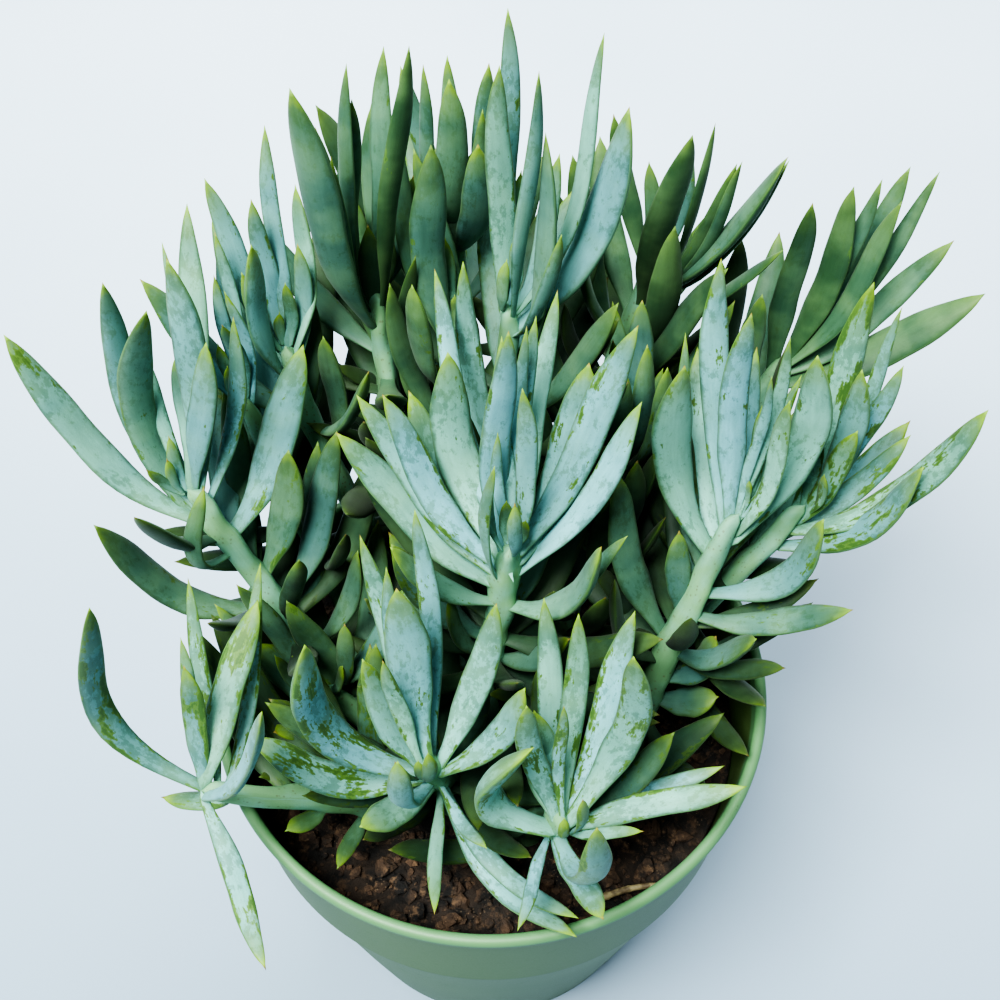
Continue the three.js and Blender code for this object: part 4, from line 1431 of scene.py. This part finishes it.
@dataclass(frozen=True)
class TwigFinish(Finish):
    """A dry, greenish-brown twig with darker knots."""

    name: str = "dry_twig"
    dry: Row = linear(128, 118, 84)
    dark: Row = linear(78, 66, 44)

    def paint(self, sheet: NodeSheet, shared: SharedEffects) -> Look:
        """Lets two browns drift over a fine grain.

        Args:
            sheet: the material's sheet.
            shared: the shared node groups.

        Returns:
            The look.
        """
        place = sheet.place()
        bark = shared.drift.on(sheet, place, 420.0, self.dry, self.dark)[0]
        fine = place.noise(1600.0, 3.0, 0.6)
        return Look(bark, fine.step(0.3, 0.7, 0.6, 0.85), fine, (0.5, 0.0003))


@dataclass(frozen=True)
class FloorFinish(Finish):
    """A plain pale blue-grey floor, painted darker towards the front as painted shade, with the faintest
    mottling.
    """

    name: str = "pale_floor"
    light: Row = linear(224, 242, 255)
    dim: Row = linear(144, 166, 182)
    mottle: Row = linear(238, 241, 244)
    white: Row = linear(255, 255, 255)
    front: float = -0.15
    back: float = 0.75
    roughness: float = 0.85

    def paint(self, sheet: NodeSheet, shared: SharedEffects) -> Look:
        """Paints shade on the floor by its depth: darker towards the front.

        Args:
            sheet: the material's sheet.
            shared: the shared node groups.

        Returns:
            The look.
        """
        place = sheet.place()
        # Painted shade: the floor's colour runs from dim at the front to light at the back.
        plain = sheet.mix(place.parts()[1].step(self.front, self.back), self.dim, self.light)
        mottles = shared.drift.on(sheet, place, 1.2, self.white, self.mottle)[0]
        return Look(plain.towards(mottles, 1.0, "MULTIPLY"), self.roughness)


@dataclass
class LeafyStem:
    """One stem with all its leaves, as one piece that stands for the stem's node."""

    plan: StemPlan
    number: int
    course: np.ndarray
    leaves: list[Leaf]
    form: LeafForm = LeafForm()
    radius: float = 4.7
    tip_radius: float = 2.8
    depth: float = 25.7
    ring_pitch: float = 1.3
    stem_sides: int = 20
    leaf_rings: int = 23
    leaf_sides: int = 16
    leaf_start: float = -0.05
    leaf_stop: float = 0.985
    foot_closing: float = 0.05
    point_length: float = 1.1
    broadening: float = 0.97
    foot_share: float = 0.46
    foot_end: float = 0.35
    tip_start: float = 0.6
    tip_fullness: float = 0.74
    inner_fullness: float = 0.66
    inner_power: float = 0.72
    outer_power: float = 0.66
    channel_depth: float = 0.1
    channel_width: float = 0.34
    swelling: float = 1.5
    tapering: float = 0.45
    taper_length: float = 18.0
    scar_pitch: float = 4.2
    scar_height: float = 0.35

    def drawn_in(self, part: np.ndarray) -> np.ndarray:
        """How much narrower than the plain form a leaf is at a part of its length.

        Its own width rises from the foot's share to full by foot_end, and from tip_start on falls as
        1 - e^2 to a power, where e runs from 0 to 1, so that its sides meet in a sharp point. Before
        the root it closes to a cone.

        Args:
            part: parts of the length.

        Returns:
            The own width over the plain form's.
        """
        closing = np.clip((part - self.leaf_start) / self.foot_closing, 0.02, 1.0)
        foot = self.foot_share + (1.0 - self.foot_share) * smooth(part / self.foot_end)
        end = np.clip((part - self.tip_start) / (1.0 - self.tip_start), 0.0, 1.0)
        own = foot * (1.0 - end * end) ** self.tip_fullness
        return self.broadening * own / self.form.width_share(part) * closing

    def leaf_shell(self) -> Shell:
        """The surfaces of all leaves, worked out together.

        A section has x = cos of the angle round it, times the half width, and stands off the blade
        by the half depth times (1 - x^2) to a power: lower and flatter on the inner face, full with a
        soft keel on the outer one. A shallow channel runs down the inner face. The width and the
        middle line waver a little, by sines with phases of the leaf's own, and the last stretch
        narrows to a short point.

        Returns:
            The shell, with the marks that the leaf's finish reads.
        """
        rng = np.random.default_rng(100 + self.number)
        even = np.linspace(0.0, 1.0, self.leaf_rings)
        eased = 0.5 * even + 0.25 * (1.0 - np.cos(np.pi * even))
        parts = self.leaf_start + (self.leaf_stop - self.leaf_start) * eased
        blade = self.form.blades(self.leaves, parts)
        angle = turns(self.leaf_sides)[::-1]
        x = np.cos(angle)
        full = np.clip(1.0 - x * x, 0.0, 1.0)
        channel = self.channel_depth * hump(x, self.channel_width)
        inner = self.inner_fullness * (full**self.inner_power - channel)
        y = np.where(np.sin(angle) >= 0.0, inner, -(full**self.outer_power))
        length = gathered(self.leaves, "length")[:, None, None]
        phase = rng.uniform(0.0, FULL_TURN, (4, len(self.leaves), 1, 1))
        run = parts[None, :, None]
        narrowed = self.drawn_in(run)
        waver = 1.0 + 0.03 * np.sin(9.0 * run + phase[0]) + 0.02 * np.sin(23.0 * run + phase[1])
        half_width = blade.half_width * waver * narrowed
        half_depth = blade.half_depth * (1.0 + 0.05 * np.sin(11.0 * run + phase[2])) * narrowed
        middle = np.clip(np.sin(np.pi * np.clip(run, 0.0, 1.0)), 0.0, 1.0)
        sway = 0.02 * length * middle * np.sin(3.5 * run + phase[3])
        centre = blade.centre + blade.side * sway
        rings = (
            centre[:, :, None]
            + blade.side[:, :, None] * (x[None, None, :, None] * half_width[:, :, None])
            + blade.normal[:, :, None] * (y[None, None, :, None] * half_depth[:, :, None])
        )
        ends = self.form.blades(self.leaves, np.array([self.leaf_stop, 1.0])).centre
        last = ends[:, 1] + unit(ends[:, 1] - ends[:, 0]) * self.point_length
        shell = Shell.of_tubes(rings, centre[:, 0], last, self.leaf_marks(rng, parts, x, y, half_width))
        shell.marks["leaf_marks"].reshape(len(self.leaves), -1, 3)[:, -1] = (0.0, 1.0, 1.0)
        return shell

    def leaf_marks(
        self, rng: np.random.Generator, parts: np.ndarray, x: np.ndarray, y: np.ndarray,
        half_width: np.ndarray,
    ) -> dict[str, np.ndarray]:
        """The marks of every ring of every leaf. Leaves lose wax down the stem; the shaded inner leaves lose
        most of theirs and are darkened, which is painted shade.

        Args:
            rng: the stem's own random numbers.
            parts: the rings' parts of the length.
            x: each corner's place across, -1 to 1.
            y: each corner's height off the blade, below 0 on the outer face.
            half_width: by leaf and ring.

        Returns:
            leaf_run, leaf_marks, leaf_nature and leaf_face, by leaf, ring and corner.
        """
        count = len(self.leaves)
        length, number = gathered(self.leaves, "length"), np.arange(count) * 31.7 + self.number * 11.3
        older = gathered(self.leaves, "below") - self.plan.young
        shaded = gathered(self.leaves, "growth") == Growth.INNER
        bloom = (self.plan.bloom + rng.uniform(-0.24, 0.06, count)) * (1.0 - 0.65 * smooth(older / 20.0))
        # Painted shade: the shaded inner leaves keep only about a third of their wax, so their dark flesh
        # shows.
        bloom = np.clip(np.where(shaded, 0.35 * bloom, bloom), 0.0, 1.0)
        worn = np.clip(self.plan.worn + rng.uniform(-0.3, 0.2, count), 0.0, 1.0)
        tone, scorched = rng.uniform(0.0, 1.0, count), rng.uniform(0.0, 1.0, count)
        # The darkening mark: up to a half for leaves far down the stem, which are older, and 0.6 more for the
        # shaded inner leaves, which is painted shade.
        age = np.clip(0.5 * smooth(older / 40.0) + 0.6 * shaded, 0.0, 1.0)
        length, number, bloom, worn, tone, scorched, age = (
            numbers[:, None, None] for numbers in (length, number, bloom, worn, tone, scorched, age)
        )
        part = parts[None, :, None]
        front = np.where(np.arange(len(x)) < len(x) // 2, 0.0, 400.0)
        marks = {
            "leaf_run": (x * half_width + front, part * length, number),
            "leaf_marks": ((1.0 - part) * length, np.abs(x), part),
            "leaf_nature": (bloom, worn, tone),
            "leaf_face": (np.clip(-y, 0.0, 1.0), scorched, age),
        }
        shape = (count, len(parts), len(x), 3)
        return {name: np.broadcast_to(stacked(*numbers), shape) for name, numbers in marks.items()}

    def stem_shell(self) -> Shell:
        """The stem's surface: a tube along its course, with its foot down in the soil.

        The radius falls evenly from foot to tip. Below each leaf it swells by a smooth bump that is
        drawn out downwards, so that the leaf's foot runs into the stem, and between the lowest leaf
        and the soil thin half rings stand where leaves have dropped.

        Returns:
            The shell, with the marks that the stem's finish reads.
        """
        line = np.concatenate([[self.course[0] - np.array([0.0, 0.0, self.depth])], self.course])
        total = run_along(line)[-1]
        at = np.linspace(0.0, total, int(total / self.ring_pitch) + 2)
        centre = along_line(line, at)
        growing = unit(np.gradient(centre, axis=0))
        across = unit(np.array([1.0, 0.0, 0.0]) - growing * growing[:, :1])
        third = np.cross(growing, across)
        angle = turns(self.stem_sides)
        share = (at / total)[:, None]
        radius = self.radius + (self.tip_radius - self.radius) * share
        radius = radius * (1.0 - self.tapering * smooth(1.0 - (total - at) / self.taper_length))[:, None]
        scar = np.zeros((len(at), self.stem_sides))
        for leaf in self.leaves:
            row = min(int(np.searchsorted(at, total - leaf.below)), len(at) - 1)
            turn = math.atan2(np.dot(leaf.along, third[row]), np.dot(leaf.along, across[row]))
            up = at - (total - leaf.below)
            bump = self.patch(up, np.where(up > 0.0, 3.2, 8.5), turn, 0.62)
            radius = radius + self.swelling * min(leaf.width / 12.0, 1.0) * bump * (1.0 - 0.25 * share)
        lowest, first = total - max(leaf.below for leaf in self.leaves) - 5.0, self.depth + 4.0
        for count in range(int((lowest - first) // self.scar_pitch) + 1):
            turn = math.radians(GOLDEN_ANGLE * count + 50.0 * self.number)
            scar += self.patch(at - first - self.scar_pitch * count, 0.9, turn, 0.85)
        cap = np.clip((total - at) / self.tip_radius, 0.0, 1.0)
        rounded = np.sqrt(np.clip(1.0 - (1.0 - cap) ** 2, 0.05, 1.0))
        radius = (radius + self.scar_height * scar) * rounded[:, None]
        lumps = centre[:, None] + 6.0 * stacked(np.cos(angle), np.sin(angle), 0.0)
        radius *= 1.0 + 0.04 * lattice_noise(lumps, 7.0)
        rings = swept(centre, across, growing, radius)
        age = 1.0 - np.clip((at - self.depth) / (total - self.depth), 0.0, 1.0)[:, None]
        marks = {
            "stem_run": stacked(angle * self.radius, at[:, None], 500.0 + 23.9 * self.number),
            "stem_marks": stacked(age, np.clip(scar, 0.0, 1.0), 0.0),
        }
        return Shell.of_tubes(rings, centre[0], centre[-1] + growing[-1] * 0.8, marks)

    def patch(self, up: np.ndarray, height: np.ndarray | float, turn: float, width: float) -> np.ndarray:
        """A smooth patch on the stem's skin.

        Args:
            up: how far up from its middle each ring is.
            height: how far it reaches up and down.
            turn: the angle round the stem at which it is.
            width: how far it reaches round, as an angle.

        Returns:
            The patch's strength, by ring and side.
        """
        apart = np.abs((turns(self.stem_sides) - turn + np.pi) % FULL_TURN - np.pi)
        return hump(up, height)[:, None] * hump(apart, width)[None]

    def build(self, skins: list[bpy.types.Material]) -> bpy.types.Object:
        """Makes the piece, hangs it on the root body and hides the stem's imported node.

        Args:
            skins: the leaf's material and the stem's.

        Returns:
            The piece.
        """
        shell = Shell.joined([self.leaf_shell(), self.stem_shell()])
        piece = shell.to_object("leafy_" + self.plan.name, skins)
        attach(piece, BODY)
        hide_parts(self.plan.name)
        return piece


def swept(centre: np.ndarray, across: np.ndarray, growing: np.ndarray, radius: np.ndarray) -> np.ndarray:
    """Rings round a line.

    Args:
        centre: the line's points.
        across: at each of them, where the ring starts.
        growing: the line's own direction there.
        radius: by ring and side.

    Returns:
        Points by ring and side.
    """
    angle = turns(radius.shape[1])
    third = np.cross(growing, across)
    return (
        centre[:, None]
        + across[:, None] * (np.cos(angle) * radius)[..., None]
        + third[:, None] * (np.sin(angle) * radius)[..., None]
    )


@dataclass
class Pot:
    """The plastic pot: a turned wall with a round lip, a stepped collar and drain holes in its floor."""

    sizes: PotSizes = POT
    sides: int = 180
    drain_sides: int = 24
    sharp_degrees: float = 38.0

    def profile(self) -> np.ndarray:
        """Half the pot's section as radius and height, from the floor's middle outside to it inside.

        Corners are rounded by short arcs, the lip is most of a circle, and the walls are straight.

        Returns:
            The points in order.
        """
        s = self.sizes
        lip, base, foot = s.rim_radius - s.lip_radius, s.base_radius, s.collar_foot
        low, step = foot - s.collar_step, s.collar_foot_radius - s.collar_step
        return np.array([
            (0.0, 0.0),
            (base * 0.5, 0.0),
            *(
                (base - s.base_edge * (1.0 - math.cos(t)), s.base_edge * (1.0 + math.sin(t)))
                for t in np.radians(np.linspace(-90.0, -8.0, 6))
            ),
            *((base + share * (step - base), share * low) for share in (0.35, 0.7)),
            (step - 0.05, low - 0.6),
            (step + 0.15, low),
            (s.collar_foot_radius - 0.3, foot - 0.35),
            (s.collar_foot_radius, foot + 0.3),
            (s.collar_foot_radius + 0.05, foot + 1.2),
            (lip - 0.6, s.height - 6.0 * s.lip_radius),
            (lip, s.height - 3.2 * s.lip_radius),
            *(
                (lip + s.lip_radius * math.cos(t), s.height - s.lip_radius + s.lip_radius * math.sin(t))
                for t in np.radians(np.linspace(-40.0, 180.0, 15))
            ),
            *(
                (float(s.inner_radius(height)), height)
                for height in (s.height - 6.0, foot, 0.5 * foot, s.floor + 1.5)
            ),
            (float(s.inner_radius(s.floor)) - 1.5, s.floor),
            (base * 0.5, s.floor),
            (0.0, s.floor),
        ])

    def shell(self) -> Shell:
        """The profile turned round the upright axis, as one closed tube from pole to pole."""
        (radius, height), angle = self.profile().T[:, :, None], turns(self.sides)
        turned = stacked(radius * np.cos(angle), radius * np.sin(angle), height)
        return Shell.of_tubes(turned[1:-1], turned[0, 0], turned[-1, 0])

    def drill(self) -> Shell:
        """The drain holes' drills: upright round rods on a ring, a little longer than the floor is thick."""
        s = self.sizes
        hole, angle = turns(s.drain_holes)[:, None, None], turns(self.drain_sides)
        x, y = s.drain_ring_radius * np.cos(hole), s.drain_ring_radius * np.sin(hole)
        height = np.array([-s.floor, 2.0 * s.floor])[:, None]
        rings = stacked(x + s.drain_radius * np.cos(angle), y + s.drain_radius * np.sin(angle), height)
        poles = stacked(x, y, height)
        return Shell.of_tubes(rings, poles[:, 0], poles[:, 1])

    def build(self, plastic: bpy.types.Material) -> bpy.types.Object:
        """Makes the pot, drills its drain holes, hangs it on the root body and hides the imported pot.

        Args:
            plastic: its material.

        Returns:
            The piece.
        """
        piece = self.shell().to_object("pot_shell", [plastic])
        drill = self.drill().to_object("drain_drill", [])
        cut = piece.modifiers.new("drain_holes", "BOOLEAN")
        cut.operation, cut.solver, cut.object = "DIFFERENCE", "EXACT", drill
        depsgraph = bpy.context.evaluated_depsgraph_get()
        finished = bpy.data.meshes.new_from_object(piece.evaluated_get(depsgraph))
        piece.modifiers.clear()
        piece.data = finished
        bpy.data.objects.remove(drill)
        piece.data.set_sharp_from_angle(angle=math.radians(self.sharp_degrees))
        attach(piece, BODY)
        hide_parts("pot")
        return piece


@dataclass
class SoilBed:
    """The soil in the pot: one closed body with a cloddy top, loose crumbs on it and a dry twig."""

    sizes: PotSizes = POT
    seat_gap: float = 0.3
    top_rings: int = 130
    sides: int = 360
    clod_height: float = 2.1
    crumbs: int = 1900
    crumb_rings: int = 3
    crumb_sides: int = 7
    stem_clearance: float = 6.0
    twig_start: Row = (33.0, -67.5)
    twig_end: Row = (54.0, -63.5)
    twig_lift: float = 4.0
    twig_rings: int = 26
    twig_sides: int = 10
    twig_cap: float = 0.4

    def top(self, x: np.ndarray, y: np.ndarray) -> np.ndarray:
        """The soil's height with its clods: the plain height plus noises of ever smaller cells.

        The two coarser noises are folded, a half minus their size, for round clods with sharp hollows.

        Args:
            x: places across.
            y: places in depth.

        Returns:
            Heights in millimetres.
        """
        place = stacked(x, y, 0.0)
        clods = 0.5 - np.abs(lattice_noise(place, 9.0, 1))
        lumps = 0.5 - np.abs(lattice_noise(place, 4.2, 2))
        grit = lattice_noise(place, 1.9, 3)
        rough = self.clod_height * (0.9 * clods + 0.6 * lumps + 0.22 * grit)
        near_wall = smooth((self.sizes.inner_radius(self.sizes.soil_top) - np.hypot(x, y)) / 5.0)
        return self.sizes.soil_height(x, y) + rough - 0.5 * (1.0 - near_wall)

    def bed_shell(self) -> Shell:
        """The soil's body: rings up the wall from the pot's floor, then in over the cloddy top."""
        s, angle = self.sizes, turns(self.sides)
        foot = s.floor + self.seat_gap
        heights = np.array([foot, s.collar_foot * 0.5, s.collar_foot, s.soil_top - 2.0 * s.soil_relief - 1.2])
        wall = np.concatenate([[0.5 * s.base_radius], s.inner_radius(heights) - self.seat_gap])[:, None]
        wall_height = np.concatenate([[foot], heights])[:, None]
        over = ((float(s.inner_radius(s.soil_top)) - 0.6) * np.linspace(1.0, 0.01, self.top_rings))[:, None]
        x, y = over * np.cos(angle), over * np.sin(angle)
        sunken = stacked(wall * np.cos(angle), wall * np.sin(angle), wall_height)
        rings = np.concatenate([sunken, stacked(x, y, self.top(x, y))])
        crown = self.top(np.zeros(1), np.zeros(1))[0]
        return Shell.of_tubes(rings, (0.0, 0.0, foot), (0.0, 0.0, crown))

    def crumb_shell(self) -> Shell:
        """Loose crumbs lying on the soil.

        Each is a ball of a few dozen faces, pressed flatter, with its radius wavered by noise. Most are
        small and a few are clods, by a random number to a high power. They keep off the stems.

        Returns:
            The shell.
        """
        rng = np.random.default_rng(41)
        edge = float(self.sizes.inner_radius(self.sizes.soil_top)) - 3.0
        radius = edge * np.sqrt(rng.uniform(0.0, 1.0, self.crumbs))
        angle = rng.uniform(0.0, FULL_TURN, self.crumbs)
        middle = stacked(radius * np.cos(angle), radius * np.sin(angle))
        size = 0.6 + 2.3 * rng.uniform(0.0, 1.0, self.crumbs) ** 2.6
        roots = np.array([plan.root for plan in STEMS], float)
        away = np.linalg.norm(middle[:, None] - roots[None], axis=-1).min(axis=1)
        keep = (away > self.stem_clearance + size) & (np.linalg.norm(middle, axis=-1) + size < edge + 2.0)
        middle, size = middle[keep], size[keep]
        flat = rng.uniform(0.6, 0.95, len(size))
        centre = stacked(*middle.T, self.top(*middle.T) + 0.35 * size * flat)
        tilt = (np.pi * (np.arange(self.crumb_rings) + 1) / (self.crumb_rings + 1))[:, None]
        turn = turns(self.crumb_sides)
        ball = stacked(np.sin(tilt) * np.cos(turn), np.sin(tilt) * np.sin(turn), -np.cos(tilt))
        own = stacked(np.arange(len(size)) * 7.7, 0.0, 0.0)
        waver = 1.0 + 0.55 * lattice_noise(ball[None] + own[:, None, None], 0.75, 5)
        stretch = stacked(rng.uniform(0.8, 1.25, len(size)), rng.uniform(0.8, 1.2, len(size)), flat)
        rings = centre[:, None, None] + ball * waver[..., None] * (size[:, None] * stretch)[:, None, None]
        half = stacked(0.0, 0.0, size * flat)
        return Shell.of_tubes(rings, centre - half, centre + half)

    def twig_shell(self) -> Shell:
        """The dry twig: a thin tapered rod with knots, lying on the soil between two places."""
        start, end = np.array(self.twig_start), np.array(self.twig_end)
        share = np.linspace(0.0, 1.0, self.twig_rings)
        x, y = (start + (end - start) * share[:, None]).T
        height = self.sizes.soil_top + self.twig_lift + 2.2 * share
        centre = stacked(x, y + 1.1 * np.sin(np.pi * share), height)
        along = unit(np.gradient(centre, axis=0))
        across = unit(np.cross(np.array([0.0, 0.0, 1.0]), along))
        knots = hump((share * 3.2) % 1.0 - 0.5, 0.08)
        radius = np.repeat(((1.25 - 0.5 * share) * (1.0 + 0.18 * knots))[:, None], self.twig_sides, axis=1)
        ends = centre[0] - along[0] * self.twig_cap, centre[-1] + along[-1] * self.twig_cap
        return Shell.of_tubes(swept(centre, across, along, radius), *ends)

    def build(self, soil: bpy.types.Material, crumb: bpy.types.Material, bark: bpy.types.Material) -> None:
        """Makes the bed, its crumbs and the twig, hangs them on the root body and hides the imported soil.

        Args:
            soil: the bed's material.
            crumb: the crumbs' material.
            bark: the twig's material.
        """
        bed = self.bed_shell().to_object("soil_bed", [soil])
        crumbs = self.crumb_shell().to_object("soil_crumbs", [crumb])
        twig = self.twig_shell().to_object("soil_twig", [bark])
        crumbs.data.shade_flat()
        for piece in (bed, crumbs, twig):
            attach(piece, BODY)
        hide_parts("soil")


@dataclass(frozen=True)
class AreaLight:
    """A square area light that faces a target: places and size in metres, power in watts."""

    name: str
    place: Row
    target: Row
    size: float
    power: float
    colour: Row

    def build(self) -> None:
        """Puts the light into the scene."""
        data = bpy.data.lights.new(self.name, "AREA")
        data.shape, data.size, data.energy, data.color = "SQUARE", self.size, self.power, self.colour
        lamp = bpy.data.objects.new(self.name, data)
        lamp.location = self.place
        away = np.array(self.place) - np.array(self.target)
        across = math.atan2(away[1], away[0])
        lamp.rotation_euler = (math.acos(away[2] / np.linalg.norm(away)), 0.0, across + math.pi / 2.0)
        bpy.context.scene.collection.objects.link(lamp)


@dataclass
class Studio:
    """The camera, the soft light and the plain pale floor."""

    camera_place: Row = (3.0, -218.1, 528.2)
    camera_elevation: float = 52.0
    focal_length: float = 46.8
    sensor_width: float = 36.0
    floor_half: float = 4.0
    sky: Row = (0.80, 0.92, 1.0, 1.0)
    sky_strength: float = 0.27
    key: AreaLight = AreaLight("key", (-0.4, -0.45, 1.4), (0.0, 0.02, 0.2), 0.6, 54.0, (0.98, 1.0, 0.98))
    top: AreaLight = AreaLight("top", (0.3, 0.9, 1.5), (0.0, 0.1, 0.2), 1.2, 30.0, (0.93, 0.97, 1.0))
    look: str = "AgX - High Contrast"

    def add_camera(self) -> None:
        """Puts the camera where the plant is seen from, looking down along its elevation."""
        data = bpy.data.cameras.new("camera")
        data.lens = self.focal_length
        data.sensor_width = self.sensor_width
        data.clip_start, data.clip_end = 0.01, 20.0
        camera = bpy.data.objects.new("camera", data)
        camera.location = [value * MM for value in self.camera_place]
        camera.rotation_euler = (math.radians(90.0 - self.camera_elevation), 0.0, 0.0)
        bpy.context.scene.collection.objects.link(camera)
        bpy.context.scene.camera = camera

    def build(self, shared: SharedEffects) -> None:
        """Sets up the camera, the sky, the lights and the floor.

        Args:
            shared: the shared node groups, for the floor's finish.
        """
        self.add_camera()
        world = bpy.data.worlds.new("soft_sky")
        world.use_nodes = True
        background = world.node_tree.nodes["Background"]
        background.inputs["Color"].default_value = self.sky
        background.inputs["Strength"].default_value = self.sky_strength
        bpy.context.scene.world = world
        self.key.build()
        self.top.build()
        bpy.context.scene.view_settings.view_transform = "AgX"
        bpy.context.scene.view_settings.look = self.look
        corners = self.floor_half * np.array([(-1, -1, 0), (1, -1, 0), (1, 1, 0), (-1, 1, 0)], float)
        plane = Shell(corners / MM, np.array([[0, 1, 2, 3]]))
        floor = plane.to_object("floor", [FloorFinish().material(shared)])


def main() -> None:
    """Builds the studio, the pot, the soil and every leafy stem, and reports each piece."""
    logging.basicConfig(level=logging.INFO, format="%(name)s: %(message)s")
    shared = SharedEffects()
    Studio().build(shared)
    pot = Pot().build(PotFinish().material(shared))
    log.info("%s: %d faces", pot.name, len(pot.data.polygons))
    # Partly painted light: the crumbs' browns are lighter than the bed's, like the lit tops of clods.
    crumb = SoilFinish(name="soil_crumb", brown=linear(74, 56, 41), red=linear(116, 92, 68))
    SoilBed().build(SoilFinish().material(shared), crumb.material(shared), TwigFinish().material(shared))
    log.info("soil bed, crumbs and twig")
    thicket = Thicket()
    grown = thicket.grow()
    skins = [LeafFinish().material(shared), StemFinish().material(shared)]
    for number, plan in enumerate(STEMS):
        piece = LeafyStem(plan, number, thicket.courses[number], grown[number]).build(skins)
        kinds = [sum(leaf.growth is kind for leaf in grown[number]) for kind in Growth]
        log.info("%s: %d faces, leaves %s", piece.name, len(piece.data.polygons), kinds)


if __name__ == "__main__":
    main()
